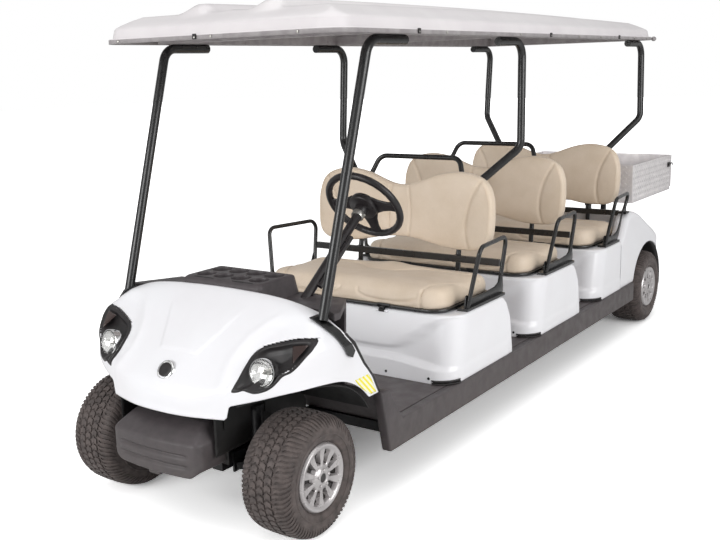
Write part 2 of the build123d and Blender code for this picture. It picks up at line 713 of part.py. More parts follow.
def seat_frame(y0, grab_rail):
    """Uprights, cross bar, hip restraints on base plates, brackets, and the grab rail if any."""
    x = UPRIGHT_X
    foot, knee = upright_line(y0, 1)
    join_y, join_z = UPRIGHT_JOIN
    if grab_rail:
        top_y, top_z = UPRIGHT_TOP
        path = [foot, knee, (x, y0 + join_y, join_z), (230, y0 + top_y, top_z)]
        path += [(-px, py, pz) for px, py, pz in reversed(path)]
        frame = tube(path, FRAME_R, [200, 200, 55, 55, 200, 200])
        half, feet = LOOP_REAR[2] - 23, [(180, 548, POD_TOP)]
    else:
        path = [foot, knee, (x, y0 + join_y + 20, join_z + 50)]
        frame = tube(path, FRAME_R, 200) + mirror(tube(path, FRAME_R, 200), about=Plane.YZ)
        half, feet = SEAT_WELL_HALF - 4, [(180, 410, POD_TOP), (508, 560, DECK_Z)]
    frame += box(-half, half, y0 + BAR_Y - 8, y0 + BAR_Y + 8, BAR_Z - 16, BAR_Z + 16)
    side = hip_loop(y0, feet[0][2] + SEAM + BASE_T / 2, feet[-1][2] + SEAM + BASE_T / 2)
    side += box(x - 12, x + 12, y0 + BAR_Y, y0 + UPRIGHT_BAR_Y, BAR_Z - 12, BAR_Z + 12)
    for front, rear, z in feet:
        side += box(512, 562, y0 + front, y0 + rear, z + SEAM, z + SEAM + BASE_T)
    for up, length in BACK_BRACKETS:
        deep = BACK_T / 2 + SEAM + length / 2
        side += back_place(y0) * Pos(x, up, -deep) * Box(18, 40, length)
    for solid in both(side):
        frame += solid
    return frame


# ---- roof and its struts ----

STRUT_FOOT_FRONT = (497, 92, 780)
KNEE_MID = (518, 801, 1264)     # y behind the first pod's front
KNEE_REAR = (525, 817, 1308)    # y behind the last pod's front
# y, z of the plate that spreads the front strut's load over the cowl's side
FOOT_PLATE = [(48, 800), (96, 808), (134, 712), (168, 662), (152, 640), (126, 652)]
FOOT_PLATE_T = 6


def strut(lower, top_y, tail):
    """Left roof strut: its lower points, then up and along the roof."""
    path = lower + [(STRUT_TOP_X, top_y, STRUT_TOP_Z), (STRUT_TOP_X, top_y + tail, STRUT_TOP_Z)]
    return tube(path, STRUT_R, [70] * (len(path) - 2))


def roof_struts():
    x, y, z = STRUT_FOOT_FRONT
    plate = skin(SEAM, FOOT_PLATE_T) & prism_x(FOOT_PLATE, 470, 600)
    front = strut([(x, y, z)], 402, STRUT_TAIL) - cowl_block(-SEAM)
    struts = [front.solids().sort_by(SortBy.VOLUME)[-1] + plate]
    for (kx, ky, kz), y0 in ((KNEE_MID, ROW_Y[0]), (KNEE_REAR, ROW_Y[2])):
        join = (UPRIGHT_X + FRAME_R + STRUT_R + SEAM, y0 + UPRIGHT_JOIN[0], UPRIGHT_JOIN[1])
        struts.append(strut([join, (kx, y0 + ky, kz)], y0 + ky + 25, -STRUT_TAIL))
    return [solid for item in struts for solid in both(item)]


# z above the rim's lower edge, and how far the outline is drawn in
ROOF_SECTIONS = [(ROOF_RIM_H, 0), (ROOF_RIM_H + 22, 45), (ROOF_RIM_H + 60, 130)]
ROOF_RIB_X = 177
ROOF_RIB_H = 36             # above the top step
ROOF_RIB_SINK = 20          # the rib's foot starts this far down the step
ROOF_RIB_FOOT = 88          # half width at the foot
ROOF_RIB_CREST = 16         # half width at the top
ROOF_RIB_END_Y = 88         # foot of the rib's nose behind the roof's edge
ROOF_RIB_NOSE = 90          # length of its sloping nose


def roof_block(inset):
    """Rim band and two tapering steps of the moulded roof."""
    half, y0, y1 = ROOF_HALF - inset, ROOF_FRONT_Y + inset, ROOF_REAR_Y - inset
    outline = plate_outline(half, y0, y1, 90 - inset, 90 - inset)
    low = ROOF_RIM_Z - (20 if inset else 0)
    block = Pos(0, 0, low) * extrude(outline, ROOF_RIM_Z + ROOF_RIM_H - inset - low)
    below = outline
    for (z0, _), (z1, drawn) in zip(ROOF_SECTIONS, ROOF_SECTIONS[1:]):
        above = plate_outline(half - drawn, y0 + drawn, y1 - drawn, 90 - inset, 90 - inset)
        block += loft([Pos(0, 0, ROOF_RIM_Z + z0 - inset) * below,
                       Pos(0, 0, ROOF_RIM_Z + z1 - inset) * above], ruled=True)
        below = above
    return block + roof_rib(inset) + mirror(roof_rib(inset), about=Plane.YZ)


def roof_rib(inset):
    """Tapering rib along the left half of the roof, with a sloping nose at each end."""
    top_step = ROOF_RIM_Z + ROOF_SECTIONS[-1][0] - inset
    levels = []
    for half, end, z in ((ROOF_RIB_FOOT - inset, ROOF_RIB_END_Y + inset, top_step - ROOF_RIB_SINK),
                         (ROOF_RIB_CREST - inset / 2, ROOF_RIB_END_Y + ROOF_RIB_NOSE + inset,
                          top_step + ROOF_RIB_H)):
        y0, y1 = ROOF_FRONT_Y + end, ROOF_REAR_Y - end
        rectangle = Polyline((-half, y0), (half, y0), (half, y1), (-half, y1), close=True)
        levels.append(Pos(ROOF_RIB_X, 0, z) * make_face(rectangle))
    return loft(levels, ruled=True)


def roof():
    return roof_block(0) - roof_block(ROOF_T)


def roof_rails():
    """Two long bars between the strut tops and the roof skin, and three bars across."""
    low, high = STRUT_TOP_Z + STRUT_R + SEAM, ROOF_RIM_Z + ROOF_SECTIONS[1][0]
    y0, y1 = ROOF_FRONT_Y + 268, ROOF_REAR_Y - 60
    inside = roof_block(ROOF_T + SEAM)
    half = ROOF_BAR_W / 2
    bars = both(box(STRUT_TOP_X - half, STRUT_TOP_X + half, y0, y1, low, high) & inside)
    reach = STRUT_TOP_X - half - SEAM
    for y in (y0 + half, ROW_Y[0] + KNEE_MID[1] - 60, y1 - half):
        bars.append(box(-reach, reach, y - half, y + half, low, low + ROOF_BAR_H))
    return bars


# ---- dash ----

TRAY_Z = 800
TRAY_T = 25
CUP_R = 38
CUP_DEPTH = 62
CUP_PITCH = 90
CUP_ROWS = (178, 268)
CUP_BLOCK = (-185, 185, 128, 322)     # x0, x1, y0, y1
CUP_TOP = 872


def dash():
    """Tray behind the hood, cup block with eight wells, and the panel down to the toe board."""
    tray = prism_z([(-BODY_HALF + 45, 118), (-480, 150), (480, 150), (BODY_HALF - 45, 118),
                    (BODY_HALF - 45, 150), (430, 330), (-430, 330), (45 - BODY_HALF, 150)],
                   TRAY_Z - TRAY_T, TRAY_Z)
    x0, x1, y0, y1 = CUP_BLOCK
    block = prism_x([(y0 + 25, TRAY_Z - TRAY_T), (y1, TRAY_Z - TRAY_T), (y1 - 6, CUP_TOP),
                     (y0 + 40, CUP_TOP - 18)], x0, x1)
    panel = prism_x([(318, TRAY_Z - TRAY_T), (330, TRAY_Z - TRAY_T), (TOE_TOP[0] + 14, TOE_TOP[1] + SEAM),
                     (TOE_TOP[0] + 2, TOE_TOP[1] + SEAM)], -430, 430)
    body = tray + block + panel
    for row in CUP_ROWS:
        for column in range(4):
            x = (column - 1.5) * CUP_PITCH
            body -= Pos(x, row, CUP_TOP + 30) * Cylinder(
                CUP_R, CUP_DEPTH + 30, align=(Align.CENTER, Align.CENTER, Align.MAX))
    return body - rod(along_column(0), along_column(160), COLUMN_R + COLUMN_FIT)


def pedals():
    """Brake and accelerator pads on their arms, hung on the toe board."""
    parts = []
    for x, width in ((190, 90), (320, 60)):
        arm = rod((x, 336, 566), (x, 425, 432), 8)
        arm += prism_x([(318.2, 545), (345, 545), (345, 590), (320.6, 590)], x - 20, x + 20)
        parts.append(arm + Pos(x, 428, 428) * Rot(55, 0, 0) * Box(width, 70, 12))
    return parts


# ---- powertrain ----

def powertrain():
    return box(-165, 165, ROW_Y[2] + 110, ROW_Y[2] + 520, RAIL_TOP, 545)


def rear_axle():
    """Axle tube with its gear case and spindles, and the springs up to the rails."""
    half = REAR_HALF_TRACK
    shoulder, tip = half - BOSS_DEPTH - 1, half + SPINDLE_END
    right = [(0, 92), (55, 92), (95, 34), (half - 115, 30), (half - 115, 24), (shoulder, 24),
             (shoulder, SPINDLE_R), (tip, SPINDLE_R), (tip, 0)]
    outline = right + [(-x, r) for x, r in reversed(right[1:])]
    axle = Pos(0, REAR_AXLE_Y, AXLE_Z) * revolve(make_face(Polyline(*outline, close=True)), Axis.X)
    for x in (-RAIL_X, RAIL_X):
        axle += rod((x, REAR_AXLE_Y, AXLE_Z), (x, REAR_AXLE_Y, RAIL_LOW + RAIL_KICK), 26)
    return axle


# ---- cargo box ----

SUPPORT_X = RAIL_X
SUPPORT_W = 30
SUPPORT_FRONT_Y = BOX_FRONT_Y + 20
HINGE_R = 8
HINGE_INSET = 5             # the pins lie near the gate's rear face, so that it stands closed
GATE_REAR_Y = REAR_AXLE_Y + REAR_OVERHANG - HINGE_R + HINGE_INSET
BOX_REAR_Y = GATE_REAR_Y - GATE_T - GATE_GAP
HINGE_Y = GATE_REAR_Y - HINGE_INSET
HINGE_Z = BOX_Z + 8
HINGE_PIN_R = 4
HINGE_LUGS = (-330, 330)


def support_holes():
    """Clearance holes in the deck for the front posts."""
    h = SUPPORT_W / 2 + HOLE_GAP
    y = SUPPORT_FRONT_Y + SUPPORT_W
    return [box(x - h, x + h, y - h, y + h, 500, 800) for x in (-SUPPORT_X, SUPPORT_X)]


def cargo_supports():
    """Two bars under the box, each on a front post through the deck and a rear post."""
    h = SUPPORT_W / 2
    top = BOX_Z
    bar = box(SUPPORT_X - h, SUPPORT_X + h, SUPPORT_FRONT_Y, BOX_REAR_Y - 60, top - SUPPORT_W, top)
    front = SUPPORT_FRONT_Y + SUPPORT_W
    bar += box(SUPPORT_X - h, SUPPORT_X + h, front - h, front + h, RAIL_TOP + RAIL_KICK, top - h)
    rear = REAR_END_Y + 4
    bar += box(SUPPORT_X - h, SUPPORT_X + h, rear, rear + 26, RAIL_TOP + RAIL_KICK, top - h)
    bar += box(SUPPORT_X - h, SUPPORT_X + h, RAIL_REAR_Y - 60, rear + 26,
               RAIL_TOP + RAIL_KICK, RAIL_TOP + RAIL_KICK + 20)
    return both(bar)


def cargo_box():
    """Open box: floor, two sides and front, with the hinge lugs behind the floor."""
    y0, y1 = BOX_FRONT_Y, BOX_REAR_Y
    body = box(-BOX_HALF, BOX_HALF, y0, y1, BOX_Z, BOX_Z + BOX_H)
    body -= box(BOX_WALL - BOX_HALF, BOX_HALF - BOX_WALL, y0 + BOX_WALL, y1 + 1,
                BOX_Z + BOX_WALL, BOX_Z + BOX_H + 1)
    for x in HINGE_LUGS:
        body += box(x - 40, x - 12, y1 - 40, HINGE_Y, BOX_Z, BOX_Z + BOX_WALL)
        body += rod((x - 40, HINGE_Y, HINGE_Z), (x - 12, HINGE_Y, HINGE_Z), HINGE_R)
        body += box(x - 40, x - 12, y1 - 6, HINGE_Y, BOX_Z, HINGE_Z)
        body += rod((x - 40, HINGE_Y, HINGE_Z), (x + 22, HINGE_Y, HINGE_Z), HINGE_PIN_R)
    return body


def tailgate():
    """Panel with two eyes that turn on the box's pins."""
    low = HINGE_Z + HINGE_R + 3
    panel = box(-BOX_HALF, BOX_HALF, GATE_REAR_Y - GATE_T, GATE_REAR_Y, low, BOX_Z + BOX_H)
    for x in HINGE_LUGS:
        panel += rod((x - 6, HINGE_Y, HINGE_Z), (x + 22, HINGE_Y, HINGE_Z), HINGE_R)
        panel += box(x - 6, x + 22, HINGE_Y - 5, HINGE_Y + 5, HINGE_Z, low)
        panel -= rod((x - 8, HINGE_Y, HINGE_Z), (x + 24, HINGE_Y, HINGE_Z), HINGE_PIN_R + RUN_GAP)
    return panel


# ---- write every node ----

wheels()
save("front_suspension", *both(front_arm()))
save("knuckle_left", knuckle())
save("knuckle_right", both(knuckle())[1])
save("tie_rod", tie_rod())
save("steering_column", steering_column())
save("steering_wheel", steering_wheel())
save("frame_rails", *frame_rails())
save("cross_members", *cross_members())
save("floor_pan", floor_pan())
save("rocker_panels", *rockers())
save("front_cowl", front_cowl())
save("wheel_liners", *wheel_liners())
save("headlight_bezels", *both(headlight_bezel()))
save("headlamps", *both(headlamp()))
save("cowl_trim", *cowl_trim())
save("front_bumper", front_bumper())
save("rear_bumper", rear_bumper())
save("seat_pod_front", seat_pod(ROW_Y[0]), *lid_pad(ROW_Y[0]))
save("seat_pod_middle", seat_pod(ROW_Y[1]), *lid_pad(ROW_Y[1]))
save("rear_body", rear_body(), *lid_pad(ROW_Y[2]))
save("tail_lights", *both(tail_light()))
for row_name, row_y, rail in zip(("front", "middle", "rear"), ROW_Y, (True, True, False)):
    save(f"seat_cushion_{row_name}", *seat_cushion(row_y))
    save(f"seat_back_{row_name}", seat_back(row_y))
    save(f"seat_frame_{row_name}", seat_frame(row_y, rail))
save("roof_struts", *roof_struts())
save("roof_rails", *roof_rails())
save("roof", roof())
save("dash", dash())
save("pedals", *pedals())
save("powertrain", powertrain())
save("rear_axle", rear_axle())
save("cargo_supports", *cargo_supports())
save("cargo_box", cargo_box())
save("tailgate", tailgate())
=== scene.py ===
import math

import bmesh
import bpy
from mathutils import Matrix, Vector
from mathutils.bvhtree import BVHTree
from mathutils.kdtree import KDTree


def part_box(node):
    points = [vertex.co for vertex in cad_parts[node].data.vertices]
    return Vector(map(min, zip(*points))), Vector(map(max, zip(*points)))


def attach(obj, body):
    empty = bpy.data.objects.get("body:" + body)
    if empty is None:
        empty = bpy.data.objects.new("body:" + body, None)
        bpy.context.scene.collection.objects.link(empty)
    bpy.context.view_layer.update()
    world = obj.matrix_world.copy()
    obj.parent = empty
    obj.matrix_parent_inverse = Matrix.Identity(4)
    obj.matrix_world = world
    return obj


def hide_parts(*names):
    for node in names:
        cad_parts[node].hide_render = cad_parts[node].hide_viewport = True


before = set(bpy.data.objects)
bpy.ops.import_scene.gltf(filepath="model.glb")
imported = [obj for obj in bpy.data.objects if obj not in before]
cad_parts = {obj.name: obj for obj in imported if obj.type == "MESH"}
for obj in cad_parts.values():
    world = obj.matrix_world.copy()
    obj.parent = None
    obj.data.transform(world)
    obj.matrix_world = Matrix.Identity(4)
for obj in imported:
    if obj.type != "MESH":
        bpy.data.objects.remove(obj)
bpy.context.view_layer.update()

# Six-seat golf cart.  Sizes are in millimetres from the ground under the front axle:
# x to the cart's left, y to its rear, z up.  at() turns them into the scene's metres.
MM = 0.001
front_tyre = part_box("tyre_front_left")
FRONT_AXLE_Y = (front_tyre[0][1] + front_tyre[1][1]) / 2
ROWS = [("front", 865), ("middle", 1703), ("rear", 2541)]
REAR_AXLE = 3446
AXLE_Z = 228.5
BODY_HALF = 575
FLOOR_Z = 313
SEAT_Z = 600


def at(x, y, z):
    return Vector((x * MM, FRONT_AXLE_Y + y * MM, z * MM))


# ---- shaping helpers ----

def mix(a, b, t):
    return a + (b - a) * t


def step(low, high, value):
    """0 below low, 1 above high, smooth between."""
    t = min(max((value - low) / (high - low), 0), 1)
    return t * t * (3 - 2 * t)


def bump_at(value, centre, width):
    """A soft bump, 1 at the centre and nearly 0 a width away."""
    return math.exp(-((value - centre) / (0.5 * width)) ** 2)


def follow(points, t, closed=False):
    """A smooth curve through the points, t from 0 to 1."""
    count = len(points)
    spans = count if closed else count - 1
    place = min(max(t, 0), 1) * spans
    k = min(int(place), spans - 1)
    f = place - k

    def pick(i):
        return points[i % count] if closed else points[min(max(i, 0), count - 1)]
    out = []
    for a, b, c, d in zip(pick(k - 1), pick(k), pick(k + 1), pick(k + 2)):
        out.append(0.5 * (2 * b + (c - a) * f + (2 * a - 5 * b + 4 * c - d) * f * f +
            (3 * b - a - 3 * c + d) * f ** 3))
    return out


def between(points, value):
    """Straight-line reading of a table of (input, output) pairs."""
    if value <= points[0][0]:
        return points[0][1]
    for (a, x), (b, y) in zip(points, points[1:]):
        if value <= b:
            return mix(x, y, (value - a) / (b - a))
    return points[-1][1]


def surface(across, along, point):
    """A grid whose vertices go to point(u, v), u and v from 0 to 1."""
    bm = bmesh.new()
    bmesh.ops.create_grid(bm, x_segments=across, y_segments=along, size=1)
    for vert in bm.verts:
        vert.co = point((vert.co.x + 1) / 2, (vert.co.y + 1) / 2)
    return bm


def ring(bm, count, point):
    """A ring of new vertices at point(t), t from 0 up to 1."""
    return [bm.verts.new(point(k / count)) for k in range(count)]


def stitch(bm, rings):
    """Faces between each closed ring of vertices and the next."""
    for lower, upper in zip(rings, rings[1:]):
        for k in range(len(lower)):
            j = (k + 1) % len(lower)
            bm.faces.new((lower[k], lower[j], upper[j], upper[k]))


def cap(bm, sides=200):
    """Close the open ends of a bmesh."""
    bmesh.ops.holes_fill(bm, edges=[e for e in bm.edges if e.is_boundary], sides=sides)


def halved(test, low, high, rounds=14):
    """Close in from both sides on the value at which the test turns true."""
    for _ in range(rounds):
        middle = (low + high) / 2
        if test(middle):
            high = middle
        else:
            low = middle
    return low, high


def join(target, extra):
    """Add one bmesh to another."""
    mesh = bpy.data.meshes.new("joined")
    extra.to_mesh(mesh)
    extra.free()
    target.from_mesh(mesh)
    bpy.data.meshes.remove(mesh)
    return target


def place(bm, matrix):
    bmesh.ops.transform(bm, matrix=matrix, verts=bm.verts[:])
    return bm


def other_side(bm):
    """The mirror image of a bmesh across the cart's middle."""
    twin = bm.copy()
    bmesh.ops.scale(twin, vec=(-1, 1, 1), verts=twin.verts[:])
    bmesh.ops.reverse_faces(twin, faces=twin.faces[:])
    return twin


def bevelled(bm, width, segments=2, angle=30):
    """Round the edges that turn by more than the angle."""
    sharp = [e for e in bm.edges if e.is_manifold and e.calc_face_angle(0) > math.radians(angle)]
    bmesh.ops.bevel(bm, geom=sharp, offset=width * MM, offset_type="OFFSET", affect="EDGES",
        segments=segments, profile=0.5, material=-1, clamp_overlap=True)
    return bm


def block(x0, x1, y0, y1, z0, z1, round_by=0, segments=2):
    """A rounded block between two corners in millimetres."""
    bm = bmesh.new()
    bmesh.ops.create_cube(bm, size=1)
    middle = at((x0 + x1) / 2, (y0 + y1) / 2, (z0 + z1) / 2)
    place(bm, Matrix.Translation(middle) @ Matrix.Diagonal(((x1 - x0) * MM, (y1 - y0) * MM,
        (z1 - z0) * MM, 1)))
    return bevelled(bm, round_by, segments) if round_by else bm


def lathe(profile, axis_start, axis_end, sides=48):
    """Spin (distance along the axis, radius) pairs in millimetres about a line."""
    line = axis_end - axis_start
    turn = line.to_track_quat("Z", "Y").to_matrix().to_4x4()
    bm = bmesh.new()
    verts = [bm.verts.new((radius * MM, 0, along * MM)) for along, radius in profile]
    edges = [bm.edges.new(pair) for pair in zip(verts, verts[1:])]
    bmesh.ops.spin(bm, geom=verts + edges, cent=(0, 0, 0), axis=(0, 0, 1), dvec=(0, 0, 0), angle=math.tau,
        steps=sides, use_merge=True, use_duplicate=False)
    bmesh.ops.remove_doubles(bm, verts=bm.verts[:], dist=0.01 * MM)
    return place(bm, Matrix.Translation(axis_start) @ turn)


def pipe(points, radius, sides=10, rings=60, closed=False):
    """A round bar along a smooth line through points in metres."""
    def centre(t):
        return Vector(follow(points, t, closed))

    def skin(u, v):
        ahead = centre(min(v + 0.01, 1)) - centre(max(v - 0.01, 0))
        if closed:
            ahead = centre((v + 0.01) % 1) - centre((v - 0.01) % 1)
        side = ahead.cross(Vector((0.13, 0.31, 0.94))).normalized()
        over = side.cross(ahead).normalized()
        angle = u * math.tau
        return centre(v) + (side * math.cos(angle) + over * math.sin(angle)) * radius * MM
    bm = surface(sides, rings, skin)
    bmesh.ops.remove_doubles(bm, verts=bm.verts[:], dist=0.05 * MM)
    if not closed:
        cap(bm, sides)
    return bm


def shown(name, data):
    """A new object in the scene."""
    obj = bpy.data.objects.new(name, data)
    bpy.context.scene.collection.objects.link(obj)
    return obj


def meshed(name, bm):
    """A bmesh as a mesh, its normals turned outward."""
    bmesh.ops.recalc_face_normals(bm, faces=bm.faces[:])
    mesh = bpy.data.meshes.new(name)
    bm.to_mesh(mesh)
    bm.free()
    return mesh


def piece(bm, name, finish, slot, body="chassis", replaces=(), sharp=40, wall=0):
    """Finish a bmesh as one named piece that rides on a body."""
    bmesh.ops.remove_doubles(bm, verts=bm.verts[:], dist=0.02 * MM)
    mesh = meshed(name, bm)
    for material in finish if isinstance(finish, list) else [finish]:
        mesh.materials.append(material)
    mesh.polygons.foreach_set("use_smooth", [True] * len(mesh.polygons))
    mesh.set_sharp_from_angle(angle=math.radians(sharp))
    obj = shown(name, mesh)
    if wall:
        solid = obj.modifiers.new("wall", "SOLIDIFY")
        solid.thickness = wall * MM
        solid.offset = -1
    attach(obj, body)
    if replaces:
        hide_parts(*replaces)
    return obj


def pair(bm, name, finish, slot, replaces=(), **settings):
    """A left piece and its mirror image on the right."""
    twin = other_side(bm)
    piece(bm, f"{name}_left", finish, slot, replaces=replaces, **settings)
    piece(twin, f"{name}_right", finish, slot, **settings)


def node_shape(node):
    """A copy of a CAD node's mesh, with its loose triangles merged into whole faces."""
    bm = bmesh.new()
    bm.from_mesh(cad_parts[node].data)
    bmesh.ops.remove_doubles(bm, verts=bm.verts[:], dist=0.01 * MM)
    bmesh.ops.dissolve_limit(bm, angle_limit=math.radians(1), verts=bm.verts[:], edges=bm.edges[:])
    return bm


# ---- materials ----

def linear(code):
    """A hex sRGB colour as the linear colour that Blender's sockets take."""
    parts = [int(code[i:i + 2], 16) / 255 for i in (1, 3, 5)]
    return [c / 12.92 if c <= 0.04045 else ((c + 0.055) / 1.055) ** 2.4 for c in parts] + [1]


def add(tree, kind, inputs=None, **settings):
    """One node with its settings; an input is a value or another node's output."""
    node = tree.nodes.new(kind)
    for key, value in settings.items():
        setattr(node, key, value)
    for key, value in (inputs or {}).items():
        if isinstance(value, bpy.types.NodeSocket):
            tree.links.new(value, node.inputs[key])
        else:
            node.inputs[key].default_value = value
    return node


def start(name):
    """An empty material: its tree, its shader, and the object coordinates in metres."""
    material = bpy.data.materials.new(name)
    material.use_nodes = True
    tree = material.node_tree
    shader = tree.nodes["Principled BSDF"]
    coords = tree.nodes.new("ShaderNodeTexCoord").outputs["Object"]
    return material, tree, shader, coords


def set_shader(shader, **values):
    """Uniform values on the shader's own sockets."""
    names = {"coat": "Coat Weight", "sheen": "Sheen Weight", "ior": "IOR",
        "transmission": "Transmission Weight", "specular": "Specular IOR Level"}
    for key, value in values.items():
        shader.inputs[names.get(key, key.replace("_", " ").title())].default_value = value


def noise_at(tree, coords, size_mm, detail, **inputs):
    """Noise whose patches are about size_mm across."""
    inputs = {"Vector": coords, "Scale": 1 / (size_mm * MM), "Detail": detail, **inputs}
    return add(tree, "ShaderNodeTexNoise", inputs).outputs["Fac"]


def mapped(tree, value, from_low, from_high, low, high, **settings):
    """A value taken from one range to another."""
    return add(tree, "ShaderNodeMapRange", {"Value": value, "From Min": from_low, "From Max": from_high,
        "To Min": low, "To Max": high}, **settings).outputs["Result"]


def two_colours(tree, value, first, second, stops):
    """One colour below the first stop of a value, another above the second."""
    ramp = add(tree, "ShaderNodeValToRGB", {"Fac": value})
    for element, stop, code in zip(ramp.color_ramp.elements, stops, (first, second)):
        element.position, element.color = stop, linear(code)
    return ramp.outputs["Color"]


def mixed(tree, share, first, second, **settings):
    """Two colours mixed by a share."""
    return add(tree, "ShaderNodeMix", {0: share, 6: first, 7: second}, data_type="RGBA",
        **settings).outputs[2]


def varied(tree, coords, first, second, size_mm, detail=3):
    """Two colours mixed by noise."""
    noise = noise_at(tree, coords, size_mm, detail, Roughness=0.55)
    return two_colours(tree, noise, first, second, (0.35, 0.65))


def spread(tree, coords, low, high, size_mm):
    """Noise mapped to a range, for roughness."""
    return mapped(tree, noise_at(tree, coords, size_mm, 4), 0.3, 0.7, low, high)


def grain(tree, coords, size_mm, height_mm):
    """A bump of fine grain."""
    inputs = {"Height": noise_at(tree, coords, size_mm, 2), "Distance": height_mm * MM, "Strength": 1}
    return add(tree, "ShaderNodeBump", inputs).outputs["Normal"]


def dusted(tree, coords, colour, dust, reach_mm, amount):
    """A colour that takes on road dust towards the ground."""
    split = add(tree, "ShaderNodeSeparateXYZ", {"Vector": coords})
    height = mapped(tree, split.outputs["Z"], 0.1, reach_mm * MM, amount, 0.0)
    noise = add(tree, "ShaderNodeTexNoise", {"Vector": coords, "Scale": 22, "Detail": 5})
    cover = add(tree, "ShaderNodeMath", {0: height, 1: noise.outputs["Fac"]},
        operation="MULTIPLY").outputs["Value"]
    return mixed(tree, cover, colour, linear(dust))


def finish_of(name, colours, patch_mm, rough=None, bump=None, dust=None, detail=3, **values):
    """A material: one colour, or two in patches, then roughness in patches, grain and dust.

    rough is low, high and patch size; bump is grain size and height; dust is its colour,
    reach and amount."""
    material, tree, shader, coords = start(name)
    if patch_mm:
        base = varied(tree, coords, *colours, patch_mm, detail)
        if dust:
            base = dusted(tree, coords, base, *dust)
        tree.links.new(base, shader.inputs["Base Color"])
    else:
        shader.inputs["Base Color"].default_value = linear(colours)
    if rough:
        tree.links.new(spread(tree, coords, *rough), shader.inputs["Roughness"])
    if bump:
        tree.links.new(grain(tree, coords, *bump), shader.inputs["Normal"])
    set_shader(shader, **values)
    return material


def painted_panel(name, colour, shade, roughness, coat):
    """Moulded thermoplastic under gloss paint: an even colour, a hard coat, faint orange peel."""
    return finish_of(name, (colour, shade), 260, (roughness - 0.01, roughness + 0.03, 300), (9, 0.012),
        ("#B9B2AA", 480, 0.22), coat=coat, coat_roughness=0.12, ior=1.5)


def moulded_plastic(name, colour, shade, roughness, grain_mm, height_mm, dust=0.35):
    """Textured polypropylene: a spark-eroded grain, greyed a little by sun and dust."""
    return finish_of(name, (colour, shade), 45, (roughness - 0.08, roughness + 0.1, 60),
        (grain_mm, height_mm), ("#8C847B", 420, dust), ior=1.49)


def powder_coat(name, colour, shade, roughness, coat):
    """Powder-coated steel: black, glossy, with a slight ripple."""
    return finish_of(name, (colour, shade), 35, (roughness - 0.06, roughness + 0.1, 25), (4, 0.04),
        coat=coat, coat_roughness=0.08, ior=1.5)


def bright_metal(name, colour, roughness):
    """Plated or polished metal trim."""
    return finish_of(name, colour, 0, (roughness, roughness + 0.1, 8), metallic=1.0)


def clear_plastic(name, colour, transmission, roughness):
    """Moulded polycarbonate lens."""
    return finish_of(name, colour, 0, bump=(6, 0.02), transmission=transmission, roughness=roughness,
        ior=1.58, coat=0.4, coat_roughness=0.03)


def marine_vinyl():
    """Coated fabric over foam: leather-like pebble 2 mm across, soft sheen, and painted shade darkening
    the pebble's creases.
    """
    material, tree, shader, coords = start("marine_vinyl_beige")
    base = varied(tree, coords, "#E0CFBB", "#D9C7B1", 120, detail=5)
    creases = add(tree, "ShaderNodeTexVoronoi", {"Vector": coords, "Scale": 1 / (2.2 * MM)},
        feature="DISTANCE_TO_EDGE").outputs["Distance"]
    # painted shade: the colour is darkened by up to 12% along the creases between the pebbles
    lines = mapped(tree, creases, 0.0, 0.12, 0.88, 1.0)
    crease_shaded = mixed(tree, 1.0, base, lines, blend_type="MULTIPLY")
    tree.links.new(crease_shaded, shader.inputs["Base Color"])
    tree.links.new(spread(tree, coords, 0.40, 0.58, 70), shader.inputs["Roughness"])
    pebble = add(tree, "ShaderNodeBump", {"Height": creases, "Distance": 0.35 * MM, "Strength": 0.6,
        "Normal": grain(tree, coords, 40, 0.8)}).outputs["Normal"]
    tree.links.new(pebble, shader.inputs["Normal"])
    set_shader(shader, sheen=0.12, sheen_roughness=0.5, ior=1.5)
    return material


def striped_tape():
    """Retro-reflective tape: yellow with silver-white slanting stripes 12 mm apart."""
    material, tree, shader, coords = start("reflective_tape")
    wave = add(tree, "ShaderNodeTexWave", {"Vector": coords, "Scale": 26.0, "Distortion": 0.0},
        wave_type="BANDS", bands_direction="DIAGONAL")
    stripes = two_colours(tree, wave.outputs["Fac"], "#F3E52A", "#F4F3D9", (0.45, 0.55))
    tree.links.new(stripes, shader.inputs["Base Color"])
    set_shader(shader, roughness=0.3, coat=0.5, coat_roughness=0.05)
    return material


WHITE = painted_panel("white_gloss_panel", "#ECECEF", "#E9E8EB", 0.3, 0.5)
ROOF_WHITE = painted_panel("white_moulded_roof", "#E0DCDD", "#D9D4D6", 0.32, 0.4)
VINYL = marine_vinyl()
TUBE_BLACK = powder_coat("black_powder_coat", "#0B0B0C", "#0F0F10", 0.3, 0.25)
FRAME_BLACK = powder_coat("satin_black_steel", "#17171A", "#0F0F10", 0.45, 0.1)
DARK_PLASTIC = moulded_plastic("grey_moulded_polypropylene", "#4A4446", "#423D3F", 0.5, 1.4, 0.10)
BLACK_PLASTIC = moulded_plastic("black_moulded_plastic", "#252122", "#1C1A1B", 0.42, 1.2, 0.08, 0.15)
LINER = moulded_plastic("black_liner_plastic", "#151414", "#100F0F", 0.6, 1.2, 0.10, 0.15)
GRIP = moulded_plastic("black_grip_plastic", "#231E1F", "#1B1819", 0.35, 1.0, 0.06, 0.0)
# Matt moulded rubber, greyed by dust that sits in its texture
RUBBER = finish_of("tyre_rubber", ("#5A504D", "#423A38"), 30, (0.62, 0.85, 20), (1.6, 0.15), detail=6,
    ior=1.52, sheen=0.1)
# Aluminium flake under a clear coat, on the wheel covers
SILVER = finish_of("silver_flake_paint", ("#C6C2C2", "#BDB9B9"), 2, (0.26, 0.33, 30), metallic=0.7,
    coat=0.4, coat_roughness=0.05)
